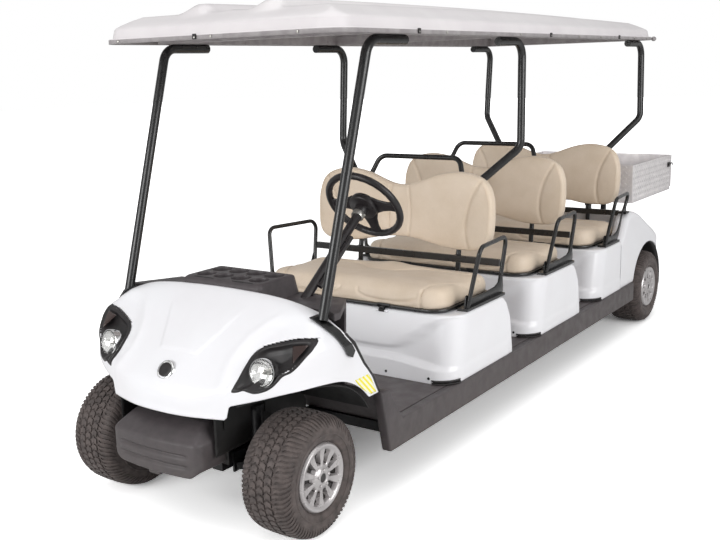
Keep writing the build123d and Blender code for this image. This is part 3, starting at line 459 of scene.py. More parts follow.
# Mill-finish sheet with dull patches of oxide
PLATE = finish_of("mill_finish_aluminium", ("#EBE7E7", "#DCD8D9"), 60, (0.3, 0.42, 60), (1.5, 0.012),
    metallic=0.45)
STEEL = bright_metal("zinc_plated_steel", "#B9B7B2", 0.28)
CHROME = bright_metal("chrome_plate", "#E4E4E4", 0.05)
GUTTER_GREY = moulded_plastic("grey_gutter_strip", "#A19C9D", "#8E898A", 0.35, 2.0, 0.03, 0.0)
CAST = moulded_plastic("sand_cast_metal", "#3B3A3A", "#2C2B2B", 0.6, 2.2, 0.25, 0.3)
CLEAR = clear_plastic("clear_polycarbonate", "#FBFBFA", 1.0, 0.02)
RED_LENS = clear_plastic("dark_red_lens", "#3A0A08", 0.0, 0.12)
AMBER_LENS = clear_plastic("smoked_amber_lens", "#2C1813", 0.0, 0.16)
TAPE = striped_tape()


# ---- nose: hood and front fenders as one moulding ----

# The moulding is where three sets of limits meet softly: its side view, plan and front view.
HOOD_LINE = [(-255, 455), (-250, 500), (-206, 600), (-150, 655), (36, 796), (100, 855)]
PLAN_LINE = [(248, -215), (410, -160), (515, -70), (562, 20), (BODY_HALF, 110), (BODY_HALF, 330)]
CROWN_LINE = [(370, 825), (480, 788), (545, 740), (BODY_HALF, 690), (BODY_HALF, 450)]
REAR_LINE = [(455, 319), (533, 278), (598, 224), (715, 148), (780, 126), (855, 100)]
LIP_Z = 459
ARCH_Z = 245
ARCH_R = 333
NOSE_SOFT = 9               # how softly the limits meet
NOSE_AXIS = (0, 600, 400)   # every point of the moulding is seen from here
# The crease outside the hood's panel: y and x
RIDGE_LINE = [(-215, 262), (-172, 247), (-142, 238), (-99, 242), (-40, 267), (7, 308), (67, 365),
    (110, 400)]
# Raised panel of the hood: half its width near the front, how it widens to the rear, its rise
PANEL_HALF, PANEL_FLARE, PANEL_RISE = 95, 0.547, 4.5
HOLE_MARGIN = 3.2           # the headlight's hole in the nose ends this far inside the surround


def outward(points, turn):
    """Each straight run as a point and its outward direction."""
    runs = []
    for (a, b), (c, d) in zip(points, points[1:]):
        size = math.hypot(c - a, d - b)
        runs.append((a, b, -turn * (d - b) / size, turn * (c - a) / size))
    return runs


HOOD_RUNS = outward(HOOD_LINE, 1)
PLAN_RUNS = outward(PLAN_LINE, -1)
CROWN_RUNS = outward(CROWN_LINE, 1)


def soft_top(values, softness, back=0):
    """The largest value, rounded where several are close, less what the rounding adds."""
    top = max(values)
    return top + softness * math.log(sum(math.exp((v - top) / softness) for v in values)) - back


def nose_limit(x, y, z):
    """Below zero inside the moulding."""
    x = abs(x)
    lowered = z + 14 * (x / 370) ** 2
    hood = [(y - a) * m + (lowered - b) * n for a, b, m, n in HOOD_RUNS]
    hood += [-255 + 40 * (x / 248) ** 2 - y]
    bulge = 10 * max(0, 1 - (x / 220) ** 2) ** 2 * (1 - step(640, 760, z)) * step(480, 540, z)
    hood = [value - bulge for value in hood]
    plan = [(x - a) * m + (y - b) * n for a, b, m, n in PLAN_RUNS]
    crown = [(x - a) * m + (z - b) * n for a, b, m, n in CROWN_RUNS]
    crown += [z - 857 + 32 * (x / 370) ** 2]
    return soft_top([soft_top(hood, 5, 6), soft_top(plan, 6, 6), soft_top(crown, 5, 5)], NOSE_SOFT)


def hood_relief(x, y, z):
    """Raised centre panel of the hood, and the brow that falls away outside the ridge."""
    x = abs(x)
    edge = PANEL_HALF + (y + 128) * PANEL_FLARE
    inside = min(y + 135, (edge - x) * 0.88)
    panel = PANEL_RISE * step(-1.5, 2.5, inside) * (1 - step(-40, 60, y))
    outside = x - between(RIDGE_LINE, y)
    brow = -11 * step(0, 70, outside) * step(560, 620, z) * (1 - step(760, 800, z))
    ridge = 3 * bump_at(outside, 0, 34) * step(470, 560, z) * (1 - step(760, 820, z))
    rolled = 4 * (1 - step(LIP_Z, LIP_Z + 22, z)) if x < 280 else 0
    return panel + brow + ridge + rolled


def nose_hit(azimuth, elevation):
    """Where a line from the axis point leaves the moulding."""
    aim = (math.sin(azimuth) * math.cos(elevation), -math.cos(azimuth) * math.cos(elevation),
        math.sin(elevation))

    def spot(reach):
        return [a + d * reach for a, d in zip(NOSE_AXIS, aim)]
    return spot(halved(lambda reach: nose_limit(*spot(reach)) >= 0, 100.0, 1100.0, 20)[0])


def nose_bottom(x, y):
    """Height of the lower edge: the lip in the middle, the wheel arch outside it."""
    arch = ARCH_Z + math.sqrt(max(ARCH_R ** 2 - y * y, 0))
    return mix(LIP_Z, max(arch, LIP_Z), step(280, 296, abs(x)))


def relieved(x, y, z):
    """A point of the moulding, raised by its relief."""
    lift = hood_relief(x, y, z)
    return x + lift * 0.15, y - lift * 0.55, z + lift * 0.8


NOSE_SPAN = math.atan2(BODY_HALF, NOSE_AXIS[1] - REAR_LINE[0][1])
nose_columns = {}


def nose_point(u, v):
    """A point of the moulding: u across it, v from its lower edge up to its rear edge."""
    azimuth = (2 * u - 1) * NOSE_SPAN
    side = 1 if azimuth > 0 else -1
    key = round(abs(azimuth), 6)

    def above_edge(elevation):
        x, y, z = nose_hit(key, elevation)
        return z >= nose_bottom(x, y)

    def behind_edge(elevation):
        _, y, z = nose_hit(key, elevation)
        return y >= between(REAR_LINE, z)
    if key not in nose_columns:
        low = sum(halved(above_edge, -0.1, 0.6)) / 2
        nose_columns[key] = low, max(sum(halved(behind_edge, -0.1, 0.95)) / 2, low)
    x, y, z = relieved(*nose_hit(key, mix(*nose_columns[key], v)))
    return at(side * x, y, z)


# Left lamp: its centre, direction and radius, then its surround's outline in front view, x and z
LAMP = (391, -138, 632)
LAMP_AIM = Vector((0.14, -0.95, 0.2)).normalized()
LAMP_R = 46
EYE_OUTLINE = [(306, 565), (308, 583), (308, 603), (307, 627), (309, 656), (314, 681), (337, 703),
    (389, 720), (438, 732), (475, 738), (532, 742), (535, 715), (524, 693), (508, 664), (490, 643),
    (468, 631), (454, 613), (437, 589), (416, 572), (384, 563), (362, 568), (346, 573), (327, 566)]


def nose_front(x, z):
    """The moulding's surface behind a point of the front view."""
    y = halved(lambda y: nose_limit(x, y, z) < 0, -420.0, 300.0, 20)[0]
    return Vector(relieved(x, y, z))


def within(outline, x, z):
    """Whether a point of the front view lies inside an outline."""
    inside = False
    for (a, b), (c, d) in zip(outline, outline[1:] + outline[:1]):
        if (b > z) != (d > z) and x < (c - a) * (z - b) / (d - b) + a:
            inside = not inside
    return inside


def rim_distance(x, z):
    """How far a point of the front view lies from the headlight surround's outline."""
    spot, nearest = Vector((x, z)), 1e9
    for a, b in zip(EYE_OUTLINE, EYE_OUTLINE[1:] + EYE_OUTLINE[:1]):
        run = Vector(b) - Vector(a)
        share = min(max((spot - Vector(a)).dot(run) / run.length_squared, 0), 1)
        nearest = min(nearest, (spot - Vector(a) - run * share).length)
    return nearest


def build_nose():
    """The moulding with its two headlight holes cut."""
    bm = surface(216, 96, nose_point)
    gone = []
    for face in bm.faces:
        middle = face.calc_center_median()
        x, z = abs(middle.x) / MM, middle.z / MM
        if middle.y < at(0, 60, 0).y and within(EYE_OUTLINE, x, z) and rim_distance(x, z) > HOLE_MARGIN:
            gone.append(face)
    bmesh.ops.delete(bm, geom=gone, context="FACES")
    piece(bm, "nose_moulding", WHITE, "white_body", replaces=["front_cowl"], sharp=50, wall=4)


def build_eyes():
    """Dark dished headlight surrounds, smoked signal lenses and the lamps."""
    middle_x, middle_z = 425, 662
    out_of_nose = Vector((0.3, -0.85, 0.35))
    dish_profile = [(0, 0), (0.02, 2), (0.06, 3.5), (0.11, 3), (0.15, 0.5), (0.2, -6), (0.3, -15),
        (0.5, -24), (1, -38)]

    def dish(u, v):
        x, z = follow(EYE_OUTLINE, u, closed=True)
        rim = max(0.15, 12 / math.hypot(x - middle_x, z - middle_z))
        share = between([(0, 1), (0.15, 1 - rim), (1, 0)], v)
        point = nose_front(mix(middle_x, x, share), mix(middle_z, z, share))
        return at(*(point + out_of_nose * between(dish_profile, v)))

    def signal(u, v):
        x, z = [mix(a, mix(b, c, u), v) for a, b, c in ((512, 452, 486), (726, 718, 672))]
        rise = 4.5 * min(1, 8 * min(v, 1 - v, u + (1 - v), 1 - u + (1 - v)) + 0.2)
        return at(*(nose_front(x, z) + out_of_nose * (rise - 3.5)))
    lamp_at, seat = at(*LAMP), at(*(Vector(LAMP) - LAMP_AIM * 36))
    lens = [(40, 0)] + [(40 - 15 * (r / LAMP_R) ** 2, r) for r in (12, 24, 34, 42)] + [(22, LAMP_R),
        (18, LAMP_R + 0.5)]
    bowl = [(4, 9), (5, 18), (9, 28), (16, 37), (22, 43), (25, 45)]
    ring_line = [(8, 45.5), (22, 46.5), (25, 48), (24, 50.5), (18, 52), (-4, 51.5)]
    bulb = [(2, 0.5), (2, 7), (16, 7), (19, 5), (20.5, 0.5)]
    pair(surface(96, 22, dish), "headlight_surround", BLACK_PLASTIC, "bezel_plastic",
        replaces=["headlight_bezels"])
    pair(surface(12, 12, signal), "signal_lens", AMBER_LENS, "tail_lens", wall=1)
    for name, profile, sides, finish in (("bowl", bowl, 40, CHROME), ("ring", ring_line, 48, CHROME),
            ("bulb", bulb, 20, STEEL)):
        pair(lathe(profile, seat, lamp_at, sides), f"lamp_{name}", finish, "lamp_glass")
    pair(lathe(lens, seat, lamp_at, 48), "lamp_lens", CLEAR, "lamp_glass", replaces=["headlamps"],
        wall=1.2)


def build_badge_disc():
    """Plain round boss on the nose, a dark disc in a bright ring, with no mark on it."""
    aim = Vector((0, -0.84, 0.54)).normalized()
    foot = at(*nose_front(0, 598)) + aim * 1.5 * MM
    disc, rim = [(4, 0.2), (5, 12), (4.6, 24), (3, 29)], [(-6, 29), (4.5, 29.5), (6, 32), (5, 36),
        (1, 39), (-8, 39.5)]
    piece(lathe(disc, foot, foot + aim, 36), "nose_boss", GRIP, "bezel_plastic")
    piece(lathe(rim, foot, foot + aim, 48), "nose_boss_ring", CHROME, "lamp_glass")


def build_reflector():
    """Striped tape on the lower rear tip of each fender."""
    def patch(u, v):
        z = mix(466, 548, v)
        rear = between(REAR_LINE, z) - 9
        front = max(between([(466, 236), (500, 196), (530, 172), (548, 158)], z), 150)
        front = mix(front, rear, 0.12 + 0.3 * (1 - v) ** 2)
        return at(BODY_HALF - 0.4, mix(front, rear, u), z)
    pair(surface(10, 10, patch), "reflector", TAPE, "white_body", wall=0.6)


# ---- roof ----

ROOF_HALF = 592
ROOF_ENDS = (112, 3406)
# Height at each distance in from the edge: lip, drip channel, upright band, then the crown
ROOF_SECTION = [(0, 1768), (0.4, 1784), (3, 1787), (14, 1786), (17, 1788), (21, 1806), (25, 1821),
    (31, 1828), (48, 1837), (90, 1856), (130, 1873), (170, 1874), (600, 1876)]
RIB_X, RIB_RISE = 177, 36


def roof_height(x, y, inset):
    """Height of the roof at a distance in from its edge, with its crown and ribs."""
    z = between(ROOF_SECTION, inset)
    if inset < 30:
        return z
    middle = (ROOF_ENDS[0] + ROOF_ENDS[1]) / 2
    z += step(48, 130, inset) * (8 - 12 * ((y - middle) / 1647) ** 2)
    from_end = min(y - ROOF_ENDS[0], ROOF_ENDS[1] - y)
    flank = 1 - step(16, 88, abs(abs(x) - RIB_X))
    nose = step(85, 182, from_end)
    z += RIB_RISE * flank * nose * (1 if inset > 60 else 0)
    z += 6 * bump_at(x, 0, 60) * nose
    return z


def build_roof():
    """Roof shell in rings from its lip inward, with a crown and two lengthwise ribs."""
    insets = [0, 0.4, 3, 14, 17, 21, 25, 31, 38, 48, 62, 76, 90, 104, 117, 130, 146]
    insets += [160 + 13.5 * k for k in range(32)]
    bm = bmesh.new()
    rings = []
    for inset in insets:
        half, corner = ROOF_HALF - inset, max(105 - inset, 0.5)
        low, high = ROOF_ENDS[0] + inset, ROOF_ENDS[1] - inset

        def lip(t):
            x, y = ring_point(half, low, high, corner, corner, t)
            return at(x, y, roof_height(x, y, inset))
        rings.append(ring(bm, 240, lip))
    stitch(bm, rings)
    bmesh.ops.holes_fill(bm, edges=[e for e in bm.edges if e.is_boundary and e.verts[0] in rings[-1]],
        sides=300)
    for face in bm.faces:
        if face.calc_center_median().z < at(0, 0, 1785).z:
            face.material_index = 1
    piece(bm, "roof_shell", [ROOF_WHITE, GUTTER_GREY], "roof_plastic", replaces=["roof"], sharp=24,
        wall=5)


def ring_point(half, low, high, front_corner, rear_corner, t):
    """A point on a rounded rectangle in plan, symmetrical left to right, from its front middle."""
    side = 1 if t <= 0.5 else -1
    t = min(t, 1 - t) * 2
    if t <= 0.16:
        x, y = mix(0, half - front_corner, t / 0.16), low
    elif t <= 0.24:
        turn = (t - 0.16) / 0.08 * math.pi / 2
        x = half - front_corner + front_corner * math.sin(turn)
        y = low + front_corner - front_corner * math.cos(turn)
    elif t <= 0.76:
        x, y = half, mix(low + front_corner, high - rear_corner, (t - 0.24) / 0.52)
    elif t <= 0.84:
        turn = (t - 0.76) / 0.08 * math.pi / 2
        x = half - rear_corner + rear_corner * math.cos(turn)
        y = high - rear_corner + rear_corner * math.sin(turn)
    else:
        x, y = mix(half - rear_corner, 0, (t - 0.84) / 0.16), high
    return side * x, y


def build_gutter_fittings():
    """Clips and screws along the roof's lip."""
    clips, screws = bmesh.new(), bmesh.new()
    spots = [(x, 110) for x in (-470, -60, 20, 420)]
    spots += [(x, y) for x in (594, -594) for y in (620, 830, 1500, 1830, 2180, 2480, 2760, 3010, 3230)]
    for index, (x, y) in enumerate(spots):
        out = Vector((0, -1, 0)) if y < 112 else Vector((math.copysign(1, x), 0, 0))
        spot = at(x, y, 1776) - out * 3 * MM
        join(screws, lathe([(2, 5.5), (5.2, 5.2), (6.4, 3), (6.8, 0)], spot, spot + out, 12))
        if index % 3 == 1:
            wide, deep = (9, 3) if y < 112 else (3, 9)
            join(clips, block(x - wide, x + wide, y - deep, y + deep, 1769, 1789, 1.5, 1))
    piece(screws, "gutter_screws", STEEL, "roof_plastic")
    piece(clips, "gutter_clips", BLACK_PLASTIC, "roof_plastic")
    balls = bmesh.new()
    for side in (-1, 1):
        join(balls, lathe([(0, 0), (2, 8), (9, 13), (18, 14), (27, 10), (31, 0)],
            at(side * 574, 3380, 1776), at(side * 574.5, 3381, 1776), 20))
    piece(balls, "drain_spouts", GUTTER_GREY, "roof_plastic")


# ---- wheels ----

WHEEL_LINE = Vector((0, 0, 0)), Vector((MM, 0, 0))
WHEELS = [("front_left", 440, 0), ("front_right", -440, 0), ("rear_left", 485, REAR_AXLE),
    ("rear_right", -485, REAR_AXLE)]
# Half of the tyre's section across the tread, and the distance over it from the crown's middle
HALF_SECTION = [(-86, 122), (-90, 128), (-95, 134), (-98, 136), (-100, 141), (-104, 152), (-106.5, 167),
    (-105, 182), (-101, 195), (-96, 204), (-89, 212), (-80, 217.5), (-62, 220.5), (-31, 221.8)]
CARCASS = HALF_SECTION + [(0, 222)] + [(-x, r) for x, r in reversed(HALF_SECTION)]
CROWN_ARC = [(0, 0, 222), (31, 31, 221.8), (62, 62, 220.5), (80, 80, 217.5), (90, 89, 212),
    (101, 96, 204), (111, 101, 195), (124, 105, 182), (140, 106.5, 167)]
TREAD_FOOT = -1.5           # the blocks start below the crown's surface
CROWN_PITCHES, SHOULDER_LUGS = 50, 76


def tread_at(along, angle, rise):
    """A point of the tread: distance over the section from the crown's middle, turn, height."""
    side = 1 if along >= 0 else -1
    s = abs(along)
    x, radius = [between([(row[0], row[i]) for row in CROWN_ARC], s) for i in (1, 2)]
    lean = min(s / 130, 1) * 1.3
    x, radius = x + math.sin(lean) * rise, radius + math.cos(lean) * rise
    return Vector((side * x, radius * math.sin(angle), radius * math.cos(angle))) * MM


def tread_block(bm, outline, rise):
    """A raised block with tapered walls over an outline of (along, angle) points."""
    centre = [sum(p[i] for p in outline) / len(outline) for i in (0, 1)]
    foot = [bm.verts.new(tread_at(s, a, TREAD_FOOT)) for s, a in outline]
    top = [bm.verts.new(tread_at(mix(centre[0], s, 0.9), mix(centre[1], a, 0.9), rise))
        for s, a in outline]
    bm.faces.new(top)
    stitch(bm, [foot, top])


def tyre_mesh():
    """Turf tyre: rows of chevron blocks round the crown and curved lugs down each shoulder."""
    bm = lathe(CARCASS, *WHEEL_LINE, 96)
    pitch = math.tau / CROWN_PITCHES
    for row in range(-1, 2):
        for k in range(CROWN_PITCHES):
            middle, angle = row * 31, (k + 0.5 * (row % 2)) * pitch
            half, arm, bend = 13.6, 0.36 * pitch, 0.26 * pitch
            outline = [(middle - half, angle - arm - bend), (middle, angle - arm),
                (middle + half, angle - arm - bend), (middle + half, angle + arm - bend),
                (middle, angle + arm), (middle - half, angle + arm - bend)]
            tread_block(bm, outline, 6.2)
    for side in (-1, 1):
        for k in range(SHOULDER_LUGS):
            angle = k * math.tau / SHOULDER_LUGS
            thick = 0.31 * math.tau / SHOULDER_LUGS
            long_lug = k % 2 == 0
            spine = [(49 if long_lug else 56, -0.036), (64, -0.004), (84, 0.0), (100, 0.024)]
            spine += [(114, 0.06), (126 if long_lug else 119, 0.1)]
            edges = [[(side * s, angle + side * turn + shift) for s, turn in spine]
                for shift in (-thick, thick)]
            lows = [[bm.verts.new(tread_at(s, a, TREAD_FOOT)) for s, a in edge] for edge in edges]
            rises = [6.0, 6.2, 5.6, 4.6, 3.2, 1.2]
            tops = [[bm.verts.new(tread_at(s, mix(angle + side * spine[i][1], a, 0.82), rises[i]))
                for i, (s, a) in enumerate(edge)] for edge in edges]
            for a, b in ((tops[0], tops[1]), (lows[0], tops[0]), (lows[1], tops[1])):
                for i in range(len(spine) - 1):
                    bm.faces.new((a[i], a[i + 1], b[i + 1], b[i]))
            for i in (0, len(spine) - 1):
                bm.faces.new((lows[0][i], tops[0][i], tops[1][i], lows[1][i]))
    for side in (-1, 1):
        bead = [(105.6, 163), (107.4, 161), (107.4, 158.5), (105.4, 156.5)]
        join(bm, lathe([(side * s, r) for s, r in bead], *WHEEL_LINE, 72))
    return bm


SPOKES = 10
COVER_RADII = [0, 9, 17, 20, 22, 26, 33, 38, 43, 49, 56, 64, 73, 82, 90, 96, 100, 104, 107, 110, 113, 117,
    121, 124, 127]


def cover_height(radius, angle):
    """How far out of the wheel each point of the cover stands, and whether it is a dark pocket."""
    dished = between([(0, 104), (17, 104), (20, 106), (26, 107), (34, 104), (43, 98), (60, 93), (80, 92),
        (96, 94), (104, 98), (110, 102), (117, 105), (122, 104), (127, 96)], radius)
    swing = math.cos(angle * SPOKES)
    width = between([(40, -0.1), (60, 0.05), (90, 0.32), (104, 0.1)], radius)
    pocket = step(width - 0.32, width + 0.12, swing) * step(44, 56, radius) * (1 - step(97, 105, radius))
    crown = 3.5 * (1 - pocket) * step(40, 60, radius) * (1 - step(95, 108, radius))
    cap = -2 if radius < 18 else 0
    return dished + crown - 17 * pocket + cap, pocket


def cover_mesh():
    """Ten-spoke wheel cover with dark pockets, its plain centre cap, and the rim behind it."""
    def skin(u, v):
        radius = follow([(r,) for r in COVER_RADII], v)[0]
        angle = u * math.tau
        height, _ = cover_height(radius, angle)
        return Vector((height, radius * math.sin(angle), radius * math.cos(angle))) * MM
    bm = surface(140, 50, skin)
    bmesh.ops.remove_doubles(bm, verts=bm.verts[:], dist=0.02 * MM)
    for face in bm.faces:
        centre = face.calc_center_median() / MM
        radius = math.hypot(centre.y, centre.z)
        _, pocket = cover_height(radius, math.atan2(centre.y, centre.z))
        if pocket > 0.72 or radius < 17.5:
            face.material_index = 1
    for k in range(5):
        angle = k * math.tau / 5 + 0.3
        spot = Vector((102, 30 * math.sin(angle), 30 * math.cos(angle))) * MM
        nut = lathe([(0, 6), (6.5, 6), (8, 4.2), (8.2, 0)], spot, spot + Vector((MM, 0, 0)), 6)
        join(bm, nut)
    back = lathe([(96, 127), (92, 128), (88, 127), (86, 124), (80, 116), (74, 112), (-74, 112),
        (-80, 116), (-86, 124), (-88, 127), (-90, 126), (-88, 121), (-80, 112), (-72, 104), (30, 100),
        (44, 92), (50, 60), (50, 28), (58, 26), (58, 22)], *WHEEL_LINE, 64)
    return join(bm, back)


def build_wheels():
    """Four tyres and covers, each turned to an angle of its own."""
    tyre, cover = tyre_mesh(), cover_mesh()
    for name, x, y in WHEELS:
        for source, kind, finish, slot in ((tyre, "tyre", RUBBER, "tyre_rubber"),
                (cover, "rim", [SILVER, BLACK_PLASTIC], "wheel_silver")):
            bm = source.copy() if x > 0 else other_side(source)
            turn = Matrix.Rotation(0.4 * len(name) + y * 0.001, 4, "X")
            place(bm, Matrix.Translation(at(x, y, AXLE_Z)) @ turn)
            piece(bm, f"{kind}_{name}_skin", finish, slot, body=f"wheel_{name}",
                replaces=[f"{kind}_{name}"], sharp=32)
    tyre.free()
    cover.free()


# ---- seat pods and rear body ----

# Rear edge of a pod's side: z, and distance behind the pod's front
POD_REAR_EDGE = [(313, 620), (340, 619), (490, 596), (560, 560), (592, 528), (600, 512)]
POD_HEIGHTS = [313, 316, 322, 340, 356, 364, 370, 376, 382, 388, 394, 400, 406, 412, 418, 424, 430, 436,
    442, 448, 456, 466, 478, 490, 505, 520, 535, 550, 562, 574, 584, 588]
POD_CORNERS = (110, 26)         # radii of its front and rear corners in plan
LID_CORNER = 26
LID_HOLE = (430, 120, 470)      # half width, front and rear behind the pod's front


def pod_relief(x, z, on_front):
    """Inward depth of the moulded band across a pod's front; it dies away round the corner."""
    x = abs(x)
    upper = 442 + 158 * step(230, 560, x) ** 1.2
    lower = 401 - 26 * step(250, 560, x)
    recess = step(lower - 4, lower + 12, z) * (1 - step(upper - 10, upper + 3, z))
    foot = (1 - step(lower - 14, lower + 4, z)) * 4
    fade = 1 - step(440, 572, x) * 0.75
    return (13 * recess * fade - foot) * on_front


def pod_wall_point(y0, t, z, depth):
    """A point of the pod's wall at a height, and its outward direction in plan."""
    low = y0 + 65 * (z - FLOOR_Z) / 287
    (x, y), ahead, behind = [ring_point(BODY_HALF, low, y0 + depth, *POD_CORNERS, share)
        for share in (t, min(t + 0.002, 1), max(t - 0.002, 0))]
    along = Vector((ahead[0] - behind[0], ahead[1] - behind[1], 0))
    return x, y, Vector((along.y, -along.x, 0)).normalized()


def pod_rings(bm, y0, rear_edge):
    """Walls of a pod, its rounded top edge and its top in to the lid opening."""
    columns = 200

    def course(z, inset=None):
        def point(t):
            x, y, out = pod_wall_point(y0, t, z, rear_edge(z))
            depth = inset
            if inset is None:
                face = max(0, -out.y) ** 0.5 if out.y < -0.02 else 0
                side = 0.35 if abs(out.x) > 0.9 and y < y0 + 560 else 0
                depth = pod_relief(x, z, max(face, side))
            return at(x - out.x * depth, y - out.y * depth, z)
        return ring(bm, columns, point)
    rings = [course(z) for z in POD_HEIGHTS]
    rings += [course(z, inset) for inset, z in ((1, 592.5), (3.5, 596.5), (7.5, 599.2), (13, SEAT_Z))]
    edge = [v.co.copy() for v in rings[-1]]
    half, front, rear = LID_HOLE
    for share, z in ((0.5, SEAT_Z), (1, SEAT_Z), (1.005, 596), (1.01, 572)):
        def inner(t):
            x, y = ring_point(half - 14 * (share > 1), y0 + front, y0 + rear, LID_CORNER, LID_CORNER, t)
            spot = edge[round(t * columns)].lerp(at(x, y, z), min(share, 1))
            return spot.x, spot.y, z * MM
        rings.append(ring(bm, columns, inner))
    stitch(bm, rings)


def build_pods():
    """Shells of the front and middle seat pods."""
    for name, y0 in ROWS[:2]:
        bm = bmesh.new()
        pod_rings(bm, y0, lambda z: between(POD_REAR_EDGE, z))
        join(bm, lid_lugs(y0))
        piece(bm, f"seat_pod_{name}_shell", WHITE, "white_body", replaces=[f"seat_pod_{name}"], sharp=50,
            wall=3)


def lid_lugs(y0):
    """Hinge lugs of the lifting seat, on the pod's front face."""
    bm = bmesh.new()
    for x in (-200, 200):
        for side in (-1, 1):
            join(bm, block(x + side * 22 - 6, x + side * 22 + 6, y0 + 46, y0 + 70, 588, 599, 3, 2))
    return bm


# Top line of the rear body beside the seat and down the tail: y and z
REAR_TOP = [(2951, 601), (2961, 606), (3000, 640), (3036, 700), (3070, 738), (3120, 750), (3201, 750),
    (3300, 718), (3415, 660), (3520, 611), (3626, 557), (3670, 510), (3690, 465), (3696, 440)]
REAR_END = 3696
WING_Y, WELL_Y = 2951, 3165     # where the wings begin and the seat's well ends
WELL_X = 502
REAR_ARCH_R = 275


def rear_line(y):
    """Height of the rear body's top at a distance back, smoothed along its length."""
    if y >= 3600:
        return between(REAR_TOP, y)
    return sum(between(REAR_TOP, y + d) for d in (-28, -14, 0, 14, 28)) / 5


def rear_plan(t, inset):
    """Left half of the rear body in plan, from the seat's side round to the tail's middle."""
    corner = max(95 - inset, 1)
    half, end = BODY_HALF - inset, REAR_END - inset
    if t < 0.68:
        return half, mix(WING_Y, end - corner, t / 0.68)
    if t < 0.84:
        turn = (t - 0.68) / 0.16 * math.pi / 2
        return half - corner + corner * math.cos(turn), end - corner + corner * math.sin(turn)
    return mix(half - corner, 0, (t - 0.84) / 0.16), end


def rear_skirt(x, y):
    """Lower edge of the rear body: the floor line, the wheel arch, and the tail's edge."""
    arch = ARCH_Z + math.sqrt(max(REAR_ARCH_R ** 2 - (y - REAR_AXLE) ** 2, 0))
    edge = max(FLOOR_Z, arch)
    return mix(372, edge, step(300, 380, x))


def rounded_top(x, y, inset, radius=38):
    """Height of the rear body's top a distance in from its rounded edge."""
    drop = radius - math.sqrt(max(radius ** 2 - max(radius - inset, 0) ** 2, 0))
    return rear_line(y) - drop


def build_rear_body():
    """Rear body: seat pod in front, wings beside the seat, deck, sloping tail and arches."""
    y0 = ROWS[2][1]
    bm = bmesh.new()
    pod_rings(bm, y0, lambda z: 420)
    gone = [f for f in bm.faces if f.calc_center_median().y > at(0, y0 + 404, 0).y
        and f.calc_center_median().z < at(0, 0, 599).z]
    bmesh.ops.delete(bm, geom=gone, context="FACES")
    for vert in bm.verts:
        if vert.is_boundary and vert.co.y > at(0, y0 + 380, 0).y and vert.co.z > at(0, 0, 312).z:
            vert.co.y = at(0, WING_Y, 0).y
    columns = 150
    rows = []
    for share in (0, 0.01, 0.03, 0.08, 0.16, 0.26, 0.38, 0.5, 0.62, 0.74, 0.86, 0.94):
        row = []
        for x, y in [rear_plan(k / columns, 0) for k in range(columns + 1)]:
            low, high = rear_skirt(x, y), rounded_top(x, y, 0)
            roll = 10 * (1 - min(share / 0.03, 1)) * (1 if y > 3180 else 0.2)
            row.append((x - roll * step(300, 500, x), y, mix(low, max(high, low + 12), share)))
        rows.append(row)
    for inset in (0, 0.8, 2.5, 5, 9, 14, 20, 28, 38, 50, 62, 73):
        rows.append([(x, y, max(rounded_top(x, y, inset), rear_skirt(x, y) + 12))
            for x, y in [rear_plan(k / columns, inset) for k in range(columns + 1)]])
    walls = bmesh.new()
    grid = [[walls.verts.new(at(*p)) for p in row] for row in rows]
    for a, b in zip(grid, grid[1:]):
        for k in range(columns):
            walls.faces.new((a[k], a[k + 1], b[k + 1], b[k]))
    join(bm, other_side(walls))
    join(bm, walls)

    def deck(u, v):
        y = mix(WELL_Y, REAR_END - 73, v)
        return at(mix(-WELL_X, WELL_X, u), y, rear_line(y))

    def well(u, v):
        return at(mix(-WELL_X, WELL_X, u), mix(y0 + 404, WELL_Y, v), SEAT_Z)

    def well_rear(u, v):
        return at(mix(-WELL_X, WELL_X, u), WELL_Y, mix(SEAT_Z, rear_line(WELL_Y), v))

    def well_side(u, v):
        y = mix(WING_Y, WELL_Y, u)
        return at(WELL_X, y, mix(SEAT_Z, rear_line(y), v))
    side_wall = surface(20, 4, well_side)
    for patch in (surface(30, 40, deck), surface(12, 6, well), surface(12, 4, well_rear),
            other_side(side_wall), side_wall, lid_lugs(y0)):
        join(bm, patch)
    piece(bm, "rear_body_shell", WHITE, "white_body", replaces=["rear_body"], sharp=38, wall=3)

    tub = bmesh.new()
    for side in (-1, 1):
        def arch(x, turn, share):
            angle = math.pi * mix(-0.06, 1.06, turn)
            reach = (REAR_ARCH_R + 1.5) * share
            return at(side * x, REAR_AXLE - reach * math.cos(angle), ARCH_Z + reach * math.sin(angle))
        join(tub, surface(6, 36, lambda u, v: arch(mix(345, 568, u), v, 1)))
        join(tub, surface(36, 2, lambda u, v: arch(345, u, mix(0.35, 1, v))))
    piece(tub, "rear_wheel_tubs", BLACK_PLASTIC, "dark_plastic", wall=2)

    def lens(u, v):
        y = mix(3545, 3688, v)
        x = mix(mix(438, 470, v), BODY_HALF - 14 - max(0, y - 3600) ** 2 / 260, u)
        top = rounded_top(x, y, max(min(BODY_HALF - x, REAR_END - y), 0))
        lip = min(u, 1 - u, v, 1 - v)
        return at(x, y + 3 * step(0, 0.08, lip), top - 2 + 8 * step(0, 0.1, lip))
    pair(surface(16, 20, lens), "tail_lens", RED_LENS, "tail_lens", replaces=["tail_lights"], wall=1.5)


# Plates between the feet of the hip loops in side view, y behind the pod's front and z
POD_GUSSET = [(186, 600.6), (556, 600.6), (560, 640), (553, 704), (537, 706), (520, 670), (480, 652),
    (400, 647), (300, 646), (236, 648), (210, 668), (196, 664), (188, 630)]
REAR_GUSSET = [(182, 600.6), (404, 600.6), (438, 640), (466, 690), (488, 740), (506, 750.6), (556, 750.6),
    (553, 790), (536, 792), (508, 782), (478, 754), (448, 704), (412, 664), (360, 648), (240, 646),
    (208, 666), (194, 662), (186, 630)]


